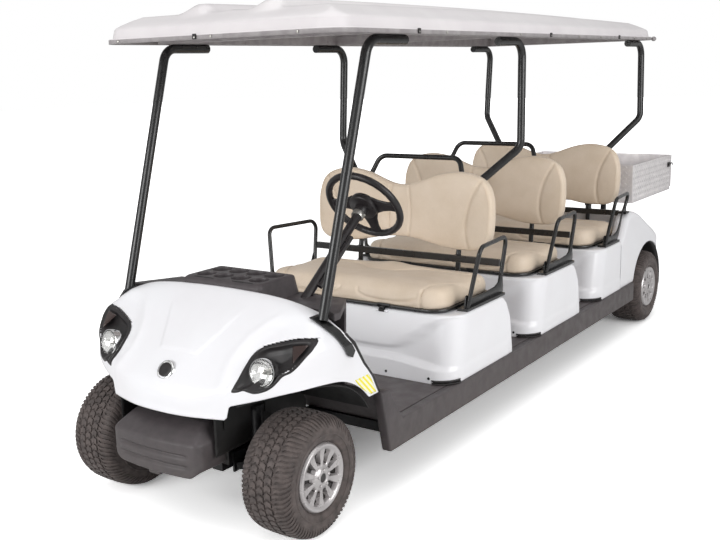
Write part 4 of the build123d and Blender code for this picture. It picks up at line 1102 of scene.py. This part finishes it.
def build_pod_fittings():
    """Corner grips, floor screws and hip-loop base plates of the three rows."""
    grips, screws, plates = bmesh.new(), bmesh.new(), bmesh.new()
    for _, y0 in ROWS:
        for side in (-1, 1):
            for rise, reach in ((0, 0), (9, 5)):
                def grip(u, v):
                    turn = mix(0.12, 1.45, u)
                    radius = 112 + between([(0, 0), (0.15, 13 - reach), (0.5, 15 - reach),
                        (0.85, 13 - reach), (1, 0)], v)
                    fade = step(0, 0.12, u) * (1 - step(0.88, 1, u))
                    radius = mix(109, radius, fade)
                    return at(side * (BODY_HALF - 110 + radius * math.sin(turn)),
                        y0 + 110 - radius * math.cos(turn), FLOOR_Z + rise + 8 * v)
                join(grips, surface(24, 8, grip))
            for x in (250, 468):
                spot = at(side * x, y0 + 2, 334)
                join(screws, lathe([(-3, 6), (2.5, 6), (4.2, 4.6), (4.6, 0)], spot,
                    spot + Vector((0, -MM, 0)), 12))
            outline = POD_GUSSET if y0 < ROWS[2][1] else REAR_GUSSET
            mesh = bmesh.new()
            face = mesh.faces.new([mesh.verts.new(at(side * 541, y0 + y, z)) for y, z in outline])
            out = bmesh.ops.extrude_face_region(mesh, geom=[face])
            moved = [g for g in out["geom"] if isinstance(g, bmesh.types.BMVert)]
            bmesh.ops.translate(mesh, vec=(side * 6 * MM, 0, 0), verts=moved)
            join(plates, bevelled(mesh, 1.2, 2, 60))
    piece(grips, "pod_corner_grips", BLACK_PLASTIC, "dark_plastic", wall=1)
    piece(screws, "pod_floor_screws", FRAME_BLACK, "black_steel")
    piece(plates, "hip_loop_gussets", TUBE_BLACK, "black_tube")


# ---- front bumper ----

BUMPER_PLAN = [(224, -152), (223, -200), (219, -250), (214, -270), (205, -284), (190, -291), (150, -296),
    (80, -304), (0, -307)]
# From its lower edge to its upper: share of the way, height, and how far out of the plan line
BUMPER_SECTION = [(0, 250, -26), (0.06, 246, -10), (0.13, 254, -1), (0.2, 272, 1), (0.27, 284, 0),
    (0.32, 296, 0), (0.4, 324, 0), (0.46, 336, 0), (0.56, 358, 0), (0.62, 371, -1), (0.66, 378, -7),
    (0.72, 387, -22), (0.8, 405, -54), (0.88, 420, -84), (0.94, 430, -110), (1, 431, -130)]


def build_bumper():
    """Blow-moulded bumper with a sloping top, rolled edges and two long grooves."""
    def skin(u, v):
        x, y = follow(BUMPER_PLAN, 1 - abs(2 * u - 1))
        z, back = [between([(row[0], row[i]) for row in BUMPER_SECTION], v) for i in (1, 2)]
        z += 30 * step(150, 224, abs(x)) ** 2 * (1 - step(262, 330, z))
        grooved = 1 - step(158, 176, abs(x))
        dip = 8 * grooved * (bump_at(z, 330, 12) + bump_at(z, 290, 12))
        raised = 2.5 * bump_at(z, 310, 26) * grooved
        inward = (-back + dip - raised) * MM
        size = math.hypot(x / 1.6, y + 150) or 1
        share_x = min(abs(x) / 300, 0.55) * (x / 1.6) / size
        spot = at(x, y, z)
        spot.y = min(spot.y + inward * (1 - 0.4 * share_x), at(0, -152, 0).y)
        spot.x = (spot.x - inward * share_x * 0.9) * (1 if u > 0.5 else -1)
        return spot
    bm = surface(104, 74, skin)
    join(bm, block(-30, 30, -296, -260, 232, 252, 8, 3))
    piece(bm, "front_bumper_shell", DARK_PLASTIC, "dark_plastic", replaces=["front_bumper"], sharp=50,
        wall=4)


# ---- what closes the nose underneath ----

def build_inner_fenders():
    """Black inner walls of the front wheel arches and the apron behind the bumper."""
    def apron(u, v):
        x = mix(-230, 230, u)
        ribs = sum(bump_at(x, centre, 9) for centre in (-150, -50, 50, 150))
        return at(x, -146 - 5 * ribs + 6 * bump_at(v, 1, 0.06), mix(262, 452, v))
    piece(surface(92, 12, apron), "front_apron", LINER, "dark_plastic", wall=3)
    walls = bmesh.new()
    for side in (-1, 1):
        def wall(u, v):
            y = mix(-218, 302, u)
            top = ARCH_Z + math.sqrt((ARCH_R - 4) ** 2 - y * y)
            return at(side * (238 - 3 * bump_at(v, 0.2, 0.1)), y, mix(318, top, v))
        join(walls, surface(40, 16, wall))
    piece(walls, "inner_fender_walls", LINER, "dark_plastic", wall=2)


# ---- CAD shapes with their edges rounded ----

SOFT_EDGES = {"floor_pan": 4, "rocker_panels": 7, "rear_bumper": 9, "cowl_trim": 1.2,
    "steering_column": 2, "pedals": 1.5, "cargo_box": 1, "tailgate": 2}


def build_softened():
    """Moulded and folded pieces keep the CAD's shape, with rounded edges."""
    slots = {"steering_column": "steering_plastic", "pedals": "steering_plastic",
        "cargo_box": "tread_plate", "tailgate": "tread_plate"}
    for node, width in SOFT_EDGES.items():
        bm = bevelled(node_shape(node), width, 3, 32)
        body = "tailgate" if node == "tailgate" else "chassis"
        piece(bm, f"{node}_softened", NODE_FINISH[node], slots.get(node, "dark_plastic"), body=body,
            replaces=[node], sharp=44)


# ---- seats: foam under stretched vinyl, sewn before it is filled ----

SEAM_DEPTH = 5              # how far a sewn line lies below the filled surface
CLOTH = {"quality": 4, "mass": 0.4, "tension_stiffness": 18, "compression_stiffness": 18,
    "shear_stiffness": 8, "bending_stiffness": 1.5, "use_pressure": True, "uniform_pressure_force": 4,
    "vertex_group_mass": "held"}
# Cushion's seams seen from above, left half, x and distance behind the pod's front
SIDE_SEAM = [(384, 84), (387, 100), (396, 130), (412, 175), (436, 228), (463, 280), (486, 326)]
ROLL_SEAM = [(497, 446), (440, 438), (340, 437), (240, 438), (170, 430), (118, 404), (70, 374), (0, 362)]
# Its smile-shaped stitch line in front view, x and z
SMILE_SEAM = [(-158, 672), (-150, 656), (-118, 642), (-60, 634), (0, 632), (60, 634), (118, 642),
    (150, 656), (158, 672)]
CUSHION_TOP = [(74, 632), (78, 664), (88, 686), (104, 701), (130, 710), (170, 711), (240, 705),
    (330, 700), (410, 702), (450, 707), (480, 709), (505, 704), (528, 686), (540, 658)]
BACK_OUTLINE = [(0, 44), (60, 42), (120, 34), (190, 20), (260, 7), (330, 2), (395, 3), (445, 12),
    (480, 38), (498, 80), (504, 150), (503, 220), (495, 270), (476, 318), (444, 350), (400, 370),
    (350, 380), (300, 382), (250, 377), (200, 366), (150, 350), (100, 331), (50, 316), (0, 311)]
INNER_SEAM = [(47, 306), (54, 262), (60, 205), (62, 150), (58, 96), (50, 50)]
BOLSTER_SEAM = [(440, 344), (420, 306), (396, 262), (376, 205), (366, 150), (364, 100), (372, 54),
    (384, 12)]
LEAN_COS, LEAN_SIN = 0.9976, 0.0698     # the backs lean 4 degrees
INTO_BACK = Vector((0, LEAN_COS, -LEAN_SIN))
BACK_FOOT = (552, 785)      # a back's lower edge: behind the pod's front, and its height
BLANK_CELL = 10             # mesh size of a blank before it is filled


def back_at(x, up, out):
    """A point of the front row's seat back: up along it and out of its front."""
    return at(x, ROWS[0][1] + BACK_FOOT[0] + LEAN_SIN * up - LEAN_COS * out,
        BACK_FOOT[1] + LEAN_COS * up + LEAN_SIN * out)


def cushion_blank():
    """Cushion before filling: a rounded front, a roll along the rear, a ridge in the middle."""
    y0 = ROWS[0][1]

    def top(x, y):
        z = between(CUSHION_TOP, y)
        z -= 5 * bump_at(abs(x), 245, 210) * bump_at(y, 290, 170)
        z += 12 * bump_at(x, 0, 150) * step(330, 440, y)
        z -= 5 * step(420, 470, y) * step(120, 260, abs(x))
        return z

    bm = bmesh.new()
    rings = []
    for share, height in ((0.35, 0), (0.8, 0), (0.97, 0.02), (1, 0.16), (1, 0.45), (0.995, 0.68),
            (0.975, 0.86), (0.94, 0.96), (0.88, 1), (0.75, 1), (0.55, 1), (0.35, 1), (0.15, 1)):
        def point(t):
            x, y = ring_point(487, 80, 536, 88, 46, t)
            x, y = x * share, mix(308, y, share)
            return at(x, y0 + y, mix(607, top(x, mix(308, y, 0.985)), height))
        rings.append(ring(bm, 144, point))
    stitch(bm, rings)
    cap(bm)
    return bm


def back_blank():
    """Back before filling: a flat pad of its two-humped outline, 64 mm thick."""
    bm = bmesh.new()
    outline = BACK_OUTLINE + [(-x, up) for x, up in reversed(BACK_OUTLINE[1:-1])]
    smooth = [follow(outline, k / 160, closed=True) for k in range(160)]
    rings = []
    for inset, out in ((60, -33), (26, -33), (12, -29), (7, -20), (5, 0), (7, 20), (12, 28), (26, 33),
            (60, 34), (110, 34)):
        def point(t):
            k = round(t * 160)
            (x, up), (ax, au), (bx, bu) = smooth[k], smooth[k - 1], smooth[(k + 1) % 160]
            along = Vector((bx - ax, bu - au)).normalized()
            return back_at(x - along.y * inset, up + along.x * inset, out)
        rings.append(ring(bm, 160, point))
    stitch(bm, rings)
    cap(bm)
    return bm


def evaluated(obj):
    """Apply an object's modifiers."""
    depsgraph = bpy.context.evaluated_depsgraph_get()
    obj.data = bpy.data.meshes.new_from_object(obj.evaluated_get(depsgraph))
    obj.modifiers.clear()


def remeshed(bm):
    """A closed even mesh of a blank, for the cloth to start from."""
    obj = shown("blank", meshed("blank", bm))
    cells = obj.modifiers.new("cells", "REMESH")
    cells.mode = "VOXEL"
    cells.voxel_size = BLANK_CELL * MM
    even = obj.modifiers.new("even", "SMOOTH")
    even.factor = 0.5
    even.iterations = 4
    evaluated(obj)
    return obj


def filled(obj, held, reach_mm):
    """Fill a blank with pressure as cloth, sewn lines held, and cap how far it swells."""
    start_at = [v.co.copy() for v in obj.data.vertices]
    group = obj.vertex_groups.new(name="held")
    for vert in obj.data.vertices:
        weight = held(vert.co)
        if weight > 0.02:
            group.add([vert.index], weight, "REPLACE")
    cloth = obj.modifiers.new("cloth", "CLOTH")
    for key, value in CLOTH.items():
        setattr(cloth.settings, key, value)
    cloth.settings.effector_weights.gravity = 0
    cloth.collision_settings.use_collision = False
    cloth.point_cache.frame_start = 1
    cloth.point_cache.frame_end = 20
    for moment in range(1, 21):
        bpy.context.scene.frame_set(moment)
    evaluated(obj)
    obj.vertex_groups.clear()
    bpy.context.scene.frame_set(1)
    bm = bmesh.new()
    bm.from_mesh(obj.data)
    for vert, before in zip(bm.verts, start_at):
        moved = vert.co - before
        if moved.length > 1e-7:
            vert.co = before + moved * (reach_mm * MM * math.tanh(moved.length / (reach_mm * MM)) /
                moved.length)
    bpy.data.objects.remove(obj)
    bmesh.ops.smooth_vert(bm, verts=bm.verts[:], factor=0.5, use_axis_x=True, use_axis_y=True,
        use_axis_z=True)
    return bm


def seam_points(line, count):
    """Points evenly along a seam line."""
    return [follow(line, k / (count - 1)) for k in range(count)]


def seam_distance(lines):
    """Distance in mm from a pair of flat coordinates to the nearest of some seam lines."""
    points = [p for line in lines for p in seam_points(line, 120)]
    tree = KDTree(len(points))
    for index, (a, b) in enumerate(points):
        tree.insert((a, b, 0), index)
    tree.balance()
    return lambda a, b: tree.find((a, b, 0))[2]


def pressed_seams(bm, place_of, distance, only):
    """Groove the surface along sewn lines."""
    bm.normal_update()
    for vert in bm.verts:
        if only(vert):
            gap = distance(*place_of(vert.co))
            vert.co -= vert.normal * SEAM_DEPTH * MM * math.exp(-(gap / 7) ** 2)


def welt(bm, tree, line, ray_start, direction, radius=1.5):
    """A thin sewn cord that lies on the surface along a seam line."""
    spots = []
    for point in seam_points(line, max(12, len(line) * 5)):
        hit, normal, _, _ = tree.ray_cast(ray_start(*point), direction)
        if hit is not None:
            spots.append(hit + normal * 0.2 * MM)
    if len(spots) > 5:
        join(bm, pipe([tuple(p) for p in spots], radius, 6, len(spots) * 2))


def both_sides(*lines):
    """Each line followed by its mirror image."""
    return [half for line in lines for half in (line, [(-a, b) for a, b in line])]


def seat_rows(bm, cords, kind, body, board=None):
    """A filled form and its welts in each row of seats, and the board under it."""
    for name, row_y in ROWS:
        shift = Matrix.Translation((0, (row_y - ROWS[0][1]) * MM, 0))
        made = piece(place(bm.copy(), shift), f"{kind}_{name}", VINYL, "seat_vinyl",
            body=body.format(name), replaces=[f"seat_{kind}_{name}"], sharp=80)
        piece(place(cords.copy(), shift), f"{kind}_welts_{name}", VINYL, "seat_vinyl",
            body=body.format(name), sharp=80)
        if board:
            piece(board(row_y), f"seat_board_{name}", TUBE_BLACK, "seat_vinyl", body=body.format(name))
    bm.free()
    cords.free()


def build_cushions():
    """One cushion, filled and sewn, with cords along its seams, for every row."""
    y0 = ROWS[0][1]
    top_lines = both_sides(SIDE_SEAM, ROLL_SEAM)
    smiles = [[(x + shift, z) for x, z in SMILE_SEAM] for shift in (-205, 205)]
    from_above, from_front = seam_distance(top_lines), seam_distance(smiles)
    side_face = both_sides([(384, 690), (380, 660), (384, 625), (392, 608)])
    down_front = seam_distance(side_face)

    def local(co):
        return co.x / MM, co.y / MM - at(0, y0, 0).y / MM, co.z / MM

    def held(co):
        x, y, z = local(co)
        if z < 615:
            return 1.0
        weight = 0
        if z > 668 and from_above(x, y) < 7:
            weight = 0.9
        if y < 105 and (from_front(x, z) < 6 or down_front(x, z) < 7):
            weight = 0.9
        return weight
    bm = filled(remeshed(cushion_blank()), held, 16)
    bmesh.ops.subdivide_edges(bm, edges=bm.edges[:], cuts=1, use_grid_fill=True, smooth=0.6)
    pressed_seams(bm, lambda co: local(co)[:2], from_above, lambda v: local(v.co)[2] > 672)
    for distance in (from_front, down_front):
        pressed_seams(bm, lambda co: local(co)[::2], distance, lambda v: local(v.co)[1] < 110
            and v.normal.y < -0.3)
    floor_z = at(0, 0, 606).z
    for vert in bm.verts:
        vert.co.z = max(vert.co.z, floor_z)
    under = [f for f in bm.faces if f.normal.z < -0.9 and all(v.co.z < floor_z + 2 * MM for v in f.verts)]
    bmesh.ops.dissolve_limit(bm, angle_limit=0.2, verts=list({v for f in under for v in f.verts}),
        edges=list({e for f in under for e in f.edges}))
    tree = BVHTree.FromBMesh(bm)
    cords = bmesh.new()
    for line in top_lines:
        welt(cords, tree, line, lambda x, y: at(x, y0 + y, 900), Vector((0, 0, -1)))
    for line in side_face + smiles:
        welt(cords, tree, line, lambda x, z: at(x, y0 - 200, z), Vector((0, 1, 0)), 1.1
            if line in smiles else 1.5)
    seat_rows(bm, cords, "cushion", "seat_lid_{}", seat_board)


def seat_board(y0):
    """Moulded black board under the cushion, with its hinge leaves and eyes in front."""
    bm = bmesh.new()
    rings = []
    for inset, z in ((60, 605.6), (3, 605.6), (0.4, 608), (0, 613), (1.5, 617), (5, 618.5), (60, 618.5)):
        rings.append(ring(bm, 120, lambda t: at(*ring_point(498 - inset, y0 + 67 + inset,
            y0 + 542 - inset, 95, 50, t), z)))
    stitch(bm, rings)
    cap(bm)
    for x in (-200, 200):
        join(bm, block(x - 13, x + 13, y0 + 50, y0 + 72, 603.5, 611, 2, 2))
        join(bm, lathe([(0, 3.3), (0, 6.5), (27, 6.5), (27, 3.3)], at(x - 13.5, y0 + 54, 594),
            at(x + 13.5, y0 + 54, 594), 16))
        join(bm, block(x - 13, x + 13, y0 + 50, y0 + 57, 597, 606, 1.5, 1))
        join(bm, block(x - 34, x + 34, y0 + 62, y0 + 74, 606, 624, 4, 3))
    return bm


def build_backs():
    """One back, filled and sewn as the cushion is, for every row."""
    lines = both_sides(INNER_SEAM, BOLSTER_SEAM)
    distance = seam_distance(lines)
    edge_lines = both_sides([(x * 0.955, mix(190, up, 0.92)) for x, up in BACK_OUTLINE])
    edge_distance = seam_distance(edge_lines)

    def local(co):
        rel = (co - back_at(0, 0, 0)) / MM
        return (rel.x, rel.y * LEAN_SIN + rel.z * LEAN_COS, -rel.y * LEAN_COS + rel.z * LEAN_SIN)

    def held(co):
        x, up, out = local(co)
        if out < -29:
            return 0.6
        if out > 18 and distance(x, up) < 7:
            return 0.9
        if out > 12 and edge_distance(x, up) < 8:
            return 0.55
        return 0
    bm = filled(remeshed(back_blank()), held, 15)
    bmesh.ops.subdivide_edges(bm, edges=bm.edges[:], cuts=1, use_grid_fill=True, smooth=0.6)
    pressed_seams(bm, lambda co: local(co)[:2], distance, lambda v: v.normal.y < -0.5)
    for vert in bm.verts:
        x, up, out = local(vert.co)
        if out > 0:
            dish = 9 * bump_at(x, 0, 130) * bump_at(up, 190, 260)
            vert.co += INTO_BACK * dish * MM
    tree = BVHTree.FromBMesh(bm)
    cords = bmesh.new()
    for line in lines + edge_lines:
        welt(cords, tree, line, lambda x, up: back_at(x, up, 200), INTO_BACK, 1.3)
    seat_rows(bm, cords, "back", "chassis")


# ---- dash: tray and cup block ----

CELL = 90                   # one cup well and its share of the block's top
CUP_TOP = 872
CUP_FRONT = 133
# The block's skin below its flat top: height, front, half width, rear and how rounded
CUP_SKIN = [(871.4, 127, 187, 316, 3), (869, 121, 190.5, 319, 5), (865, 114, 193, 321, 7),
    (859, 107.5, 194.5, 322.5, 8), (852, 106.5, 195.5, 323, 8), (830, 114, 201, 324.5, 9),
    (799, 125, 210, 326, 10)]
WELL = [(0.5, 812), (34, 812), (37.5, 814), (38.5, 818), (39, 866), (39.5, 870), (41, CUP_TOP)]


def well_cell(x0, y0):
    """A round well let into a square of the block's top."""
    bm = bmesh.new()
    rings = [ring(bm, 32, lambda t: at(x0 + radius * math.cos(t * math.tau),
        y0 + radius * math.sin(t * math.tau), z)) for radius, z in WELL]

    def square(t):
        k = round(t * 32)
        out, along = CELL / 2, CELL / 8 * ((k + 4) % 8 - 4)
        for _ in range((k + 4) // 8 % 4):
            out, along = -along, out
        return at(x0 + out, y0 + along, CUP_TOP)
    stitch(bm, rings + [ring(bm, 32, square)])
    bm.faces.new(rings[0])
    return bm


def onto_skin(x, y, front, half, rear, soft):
    """Push a point of the top's border out to one ring of the block's skin."""
    middle = CUP_FRONT + CELL

    def outside(share):
        px, py = abs(x) * share, middle + (y - middle) * share
        return soft_top([front - py, px - half, py - rear], soft, soft * 0.6) > 0
    share = sum(halved(outside, 0.8, 1.7)) / 2
    return x * share, middle + (y - middle) * share


def build_dash():
    """The CAD's tray and panel with a new block of eight cup wells, and two pen slots."""
    tray = node_shape("dash")
    old = [f for f in tray.faces if all(abs(v.co.x) < at(186, 0, 0).x for v in f.verts)
        and any(v.co.z > at(0, 0, 801).z for v in f.verts)]
    bmesh.ops.delete(tray, geom=old, context="FACES")
    piece(bevelled(tray, 4, 2, 32), "dash_tray", DARK_PLASTIC, "dark_plastic", replaces=["dash"],
        sharp=44)
    bm = bmesh.new()
    for row in (0, 1):
        for column in range(4):
            join(bm, well_cell((column - 1.5) * CELL, CUP_FRONT + CELL * (row + 0.5)))
    bmesh.ops.remove_doubles(bm, verts=bm.verts[:], dist=0.05 * MM)
    border = [e for e in bm.edges if e.is_boundary]
    loop = [border[0].verts[0], border[0].verts[1]]
    while len(loop) < len(border):
        ways = [e.other_vert(loop[-1]) for e in loop[-1].link_edges if e.is_boundary]
        loop.append([v for v in ways if v != loop[-2]][0])
    rings = [loop]
    spots = [(v.co.x / MM, (v.co.y - FRONT_AXLE_Y) / MM) for v in loop]
    for z, *limits in CUP_SKIN:
        rings.append([bm.verts.new(at(*onto_skin(x, y, *limits), z)) for x, y in spots])
    stitch(bm, rings)
    piece(bm, "cup_block", DARK_PLASTIC, "dark_plastic", sharp=50)
    slots = bmesh.new()
    for x in (-150, 48):
        join(slots, block(x, x + 102, 119.6, 126.4, 864, 871.6, 1.2, 2))
    piece(slots, "pen_slots", LINER, "dark_plastic")


# ---- steering wheel ----

COLUMN_FOOT = Vector((270, 215, 741))
COLUMN_SLOPE = Vector((0, 418, 307)).normalized()


def build_steering_wheel():
    """Thick moulded rim, dished hub pad, three broad spokes, and the shaft below them."""
    out = COLUMN_SLOPE
    down = out.cross(Vector((1, 0, 0)))
    centre = COLUMN_FOOT + out * 603
    turn = Matrix((Vector((1, 0, 0)), down, out)).transposed().to_4x4()

    def at_wheel(bm):
        return place(bm, Matrix.Translation(at(*centre)) @ turn)

    def rim(u, v):
        a, b = u * math.tau, v * math.tau
        grip = 15 - 1.2 * max(0, math.cos(a * 28)) * step(0.2, 0.9, -math.cos(b))
        radius = 162 + grip * math.cos(b)
        return Vector((radius * math.cos(a), radius * math.sin(a), grip * math.sin(b))) * MM
    bm = surface(168, 16, rim)
    origin, tip = Vector((0, 0, 0)), Vector((0, 0, 0.001))
    hub = [(-20, 1), (-20, 56), (-16, 61), (0, 63), (10, 60), (17, 50), (21, 30), (22, 1)]
    join(bm, lathe(hub, origin, tip, 48))
    join(bm, lathe([(-52, 9.5), (-52, 24), (-48, 27), (-22, 30), (-18, 40)], origin, tip, 32))
    join(bm, lathe([(-158, 1), (-158, 9), (-40, 9), (-40, 1)], origin, tip, 20))

    def spoke(u, v):
        along = mix(48, 156, u)
        half = between([(48, 46), (80, 31), (120, 23), (156, 27)], along)
        turned = v * math.tau
        flat = math.copysign(abs(math.cos(turned)) ** 0.5, math.cos(turned))
        thick = 7.5 - 2.5 * bump_at(abs(flat), 0.45, 0.16) * step(0.1, 0.9, math.sin(turned))
        return Vector((along, half * flat, mix(4, 0, u) + thick * math.sin(turned))) * MM
    for angle in (0, 90, 180):
        join(bm, place(surface(20, 28, spoke), Matrix.Rotation(math.radians(angle), 4, "Z")))
    piece(at_wheel(bm), "steering_wheel_moulding", GRIP, "steering_plastic", body="steering_wheel",
        replaces=["steering_wheel"], sharp=50)
    clamp = lathe([(-70, 19.4), (-70, 25), (-66, 26.5), (-48, 26.5), (-44, 25), (-44, 19.4)], origin, tip,
        40)
    join(clamp, lathe([(0, 1), (0, 5), (4, 5), (5, 4), (5, 1)], Vector((30, 0, -57)) * MM,
        Vector((31, 0, -57)) * MM, 6))
    piece(at_wheel(clamp), "column_clamp", STEEL, "steering_plastic")


# ---- cargo box: raised tread pattern and gate latches ----

def lozenge(bm, centre, along, across, raised):
    """One raised lozenge of the tread pattern, four sloping sides and a narrow top."""
    base = [centre + along * 12, centre + across * 4, centre - along * 12, centre - across * 4]
    crest = [centre + raised + (corner - centre) * 0.45 for corner in base]
    lower = [bm.verts.new(at(*(corner - raised * 0.2))) for corner in base]
    upper = [bm.verts.new(at(*corner)) for corner in crest]
    stitch(bm, [lower, upper])
    bm.faces.new(upper)


LOZENGE_RISE, LOZENGE_PITCH = 2.2, 18


def tread_sheet(bm, corner, across, across_span, up_span, raised):
    """Lozenges in alternate directions, 36 mm apart, over an upright sheet."""
    up = Vector((0, 0, 1))
    for k in range(int(across_span / LOZENGE_PITCH)):
        for m in range(int(up_span / LOZENGE_PITCH)):
            if (k + m) % 2:
                continue
            centre = corner + across * (LOZENGE_PITCH * k + 12) + up * (LOZENGE_PITCH * m + 12)
            tilt = 1 if k % 2 else -1
            along = (across + up * tilt).normalized()
            lozenge(bm, centre, along, along.cross(raised.normalized()), raised)


def build_box_details():
    """Raised tread on the cargo box and its gate, and the gate's latches."""
    bm = bmesh.new()
    for side in (-1, 1):
        tread_sheet(bm, Vector((side * 480, 3392, 767)), Vector((0, 1, 0)), 772, 234,
            Vector((side * LOZENGE_RISE, 0, 0)))
    tread_sheet(bm, Vector((-476, 3390, 767)), Vector((1, 0, 0)), 950, 234, Vector((0, -LOZENGE_RISE, 0)))
    piece(bm, "box_tread_pattern", PLATE, "tread_plate", sharp=20)
    bm = bmesh.new()
    tread_sheet(bm, Vector((-476, 4197, 786)), Vector((1, 0, 0)), 950, 216, Vector((0, LOZENGE_RISE, 0)))
    piece(bm, "tailgate_tread_pattern", PLATE, "tread_plate", body="tailgate", sharp=20)
    bm = bmesh.new()
    for side in (-1, 1):
        join(bm, block(*sorted((side * 480.5, side * 486)), 4098, 4150, 926, 958, 2, 2))
        hook = [at(side * 489, y, z) for y, z in ((4104, 942), (4140, 944), (4176, 950), (4188, 944),
            (4188, 930))]
        join(bm, pipe(hook, 3.2, 10, 24))
        join(bm, lathe([(0, 1), (0, 7), (5, 7), (7, 5), (7, 1)], at(side * 486, 4112, 942),
            at(side * 487, 4112, 942), 20))
    piece(bm, "gate_latches", GRIP, "black_steel")


# ---- rocker panels ----

def build_rocker_lips():
    """A fine moulded bead along the lower edge of each rocker panel."""
    beads = bmesh.new()
    for side in (-1, 1):
        face = side * 587
        join(beads, block(face - 2.5, face + 2.5, 384, 1846, 203, 208, 2.2, 3))
    piece(beads, "rocker_lips", DARK_PLASTIC, "dark_plastic")


# ---- camera, light and floor ----

CAMERA_AT = (2.4699, -4.4530, 1.6474)
CAMERA_TURN = (34.8, 11.93, -1.59)      # degrees of yaw, downward pitch and roll
CAMERA_LENS = 47.63


def build_view():
    """Camera at the viewing distance and angle of a three-quarter front view."""
    yaw, pitch, roll = [math.radians(angle) for angle in CAMERA_TURN]
    look = Vector((-math.sin(yaw) * math.cos(pitch), math.cos(yaw) * math.cos(pitch), -math.sin(pitch)))
    level = Vector((math.cos(yaw), math.sin(yaw), 0))
    upright = level.cross(look)
    right = level * math.cos(roll) + upright * math.sin(roll)
    up = upright * math.cos(roll) - level * math.sin(roll)
    data = bpy.data.cameras.new("camera")
    data.lens = CAMERA_LENS
    data.sensor_width = 36
    camera = shown("camera", data)
    turn = Matrix((right, up, -look)).transposed().to_4x4()
    camera.matrix_world = Matrix.Translation(CAMERA_AT) @ turn
    bpy.context.scene.camera = camera


def softbox(name, place_at, aim_at, width, height, power):
    """A rectangular light that faces a spot."""
    data = bpy.data.lights.new(name, "AREA")
    data.shape = "RECTANGLE"
    data.size, data.size_y, data.energy = width, height, power
    lamp = shown(name, data)
    lamp.location = place_at
    lamp.rotation_euler = (Vector(aim_at) - Vector(place_at)).to_track_quat("-Z", "Y").to_euler()


WORLD_LIGHT = 0.5
# The paper reflects and glows more to the camera than to the cart, most of all far away
FLOOR_LIFT = 0.04
FLOOR_GAIN = 1.85


def build_studio():
    """White surroundings, four softboxes and a floor of pale paper."""
    scene = bpy.context.scene
    scene.view_settings.view_transform = "Standard"
    world = bpy.data.worlds.new("studio")
    scene.world = world
    world.use_nodes = True
    tree = world.node_tree
    back = tree.nodes["Background"]
    path = add(tree, "ShaderNodeLightPath")
    seen = add(tree, "ShaderNodeMath", {0: path.outputs["Is Camera Ray"],
        1: path.outputs["Is Transmission Ray"]}, operation="MAXIMUM")
    back.inputs["Color"].default_value = linear("#FFFFFF")
    tree.links.new(mapped(tree, seen.outputs["Value"], 0.0, 1.0, WORLD_LIGHT, 1.0),
        back.inputs["Strength"])
    softbox("overhead_softbox", (0.4, -0.6, 5.2), (0, 0, 0.4), 5.5, 6.5, 92)
    softbox("right_softbox", (6.0, -1.6, 2.6), (0, -0.2, 0.6), 4.2, 3.0, 172)
    softbox("front_softbox", (-1.2, -7.0, 2.6), (0, -1.2, 0.7), 3.4, 2.6, 165)
    softbox("footwell_softbox", (0.1, -1.5, 0.66), (0.1, -1.0, 0.52), 0.9, 0.24, 1.3)

    bm = bmesh.new()
    bmesh.ops.create_grid(bm, x_segments=2, y_segments=2, size=40)
    ground = shown("studio_floor", meshed("studio_floor", bm))
    material, tree, shader, coords = start("matt_paper_floor")
    path = add(tree, "ShaderNodeLightPath").outputs["Is Camera Ray"]
    seen = mixed(tree, path, varied(tree, coords, "#E6E6E6", "#E8E8E7", 400),
        (FLOOR_GAIN, FLOOR_GAIN, FLOOR_GAIN, 1))
    tree.links.new(seen, shader.inputs["Base Color"])
    set_shader(shader, roughness=0.9, specular=0.0)
    away = add(tree, "ShaderNodeVectorMath", {0: coords, 1: (0, 1.9, 0)}, operation="DISTANCE")
    far = mapped(tree, away.outputs["Value"], 2.9, 6.5, FLOOR_LIFT, 1.0, interpolation_type="SMOOTHSTEP")
    lift = add(tree, "ShaderNodeMath", {0: path, 1: far}, operation="MULTIPLY")
    shader.inputs["Emission Color"].default_value = linear("#FFFFFF")
    tree.links.new(lift.outputs["Value"], shader.inputs["Emission Strength"])
    ground.data.materials.append(material)


NODE_FINISH = {}
for node_finish, nodes in ((PLATE, "cargo_box tailgate"), (TUBE_BLACK, "roof_struts"),
        (CLEAR, "headlamps"),
        (FRAME_BLACK, "cargo_supports cross_members frame_rails front_suspension knuckle_left "
        "knuckle_right"), (BLACK_PLASTIC, "cowl_trim rear_bumper headlight_bezels"),
        (LINER, "wheel_liners"), (DARK_PLASTIC, "dash floor_pan front_bumper rocker_panels"),
        (ROOF_WHITE, "roof"), (GRIP, "pedals steering_column steering_wheel"),
        (CAST, "powertrain rear_axle"), (WHITE, "rear_body seat_pod_front seat_pod_middle front_cowl"),
        (STEEL, "tie_rod"), (GUTTER_GREY, "roof_rails"), (RED_LENS, "tail_lights")):
    for node in nodes.split():
        NODE_FINISH[node] = node_finish
for row_name, _ in ROWS:
    NODE_FINISH[f"seat_frame_{row_name}"] = TUBE_BLACK
    NODE_FINISH[f"seat_back_{row_name}"] = NODE_FINISH[f"seat_cushion_{row_name}"] = VINYL
for corner, _, _ in WHEELS:
    NODE_FINISH[f"tyre_{corner}"], NODE_FINISH[f"rim_{corner}"] = RUBBER, SILVER
for node_name, node_finish in NODE_FINISH.items():
    node_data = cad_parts[node_name].data
    node_data.materials.clear()
    node_data.materials.append(node_finish)

for build in (build_view, build_studio, build_nose, build_eyes, build_badge_disc, build_reflector,
        build_roof, build_gutter_fittings, build_wheels, build_pods, build_rear_body, build_pod_fittings,
        build_bumper, build_cushions, build_backs, build_inner_fenders, build_softened, build_dash,
        build_steering_wheel, build_box_details, build_rocker_lips):
    build()
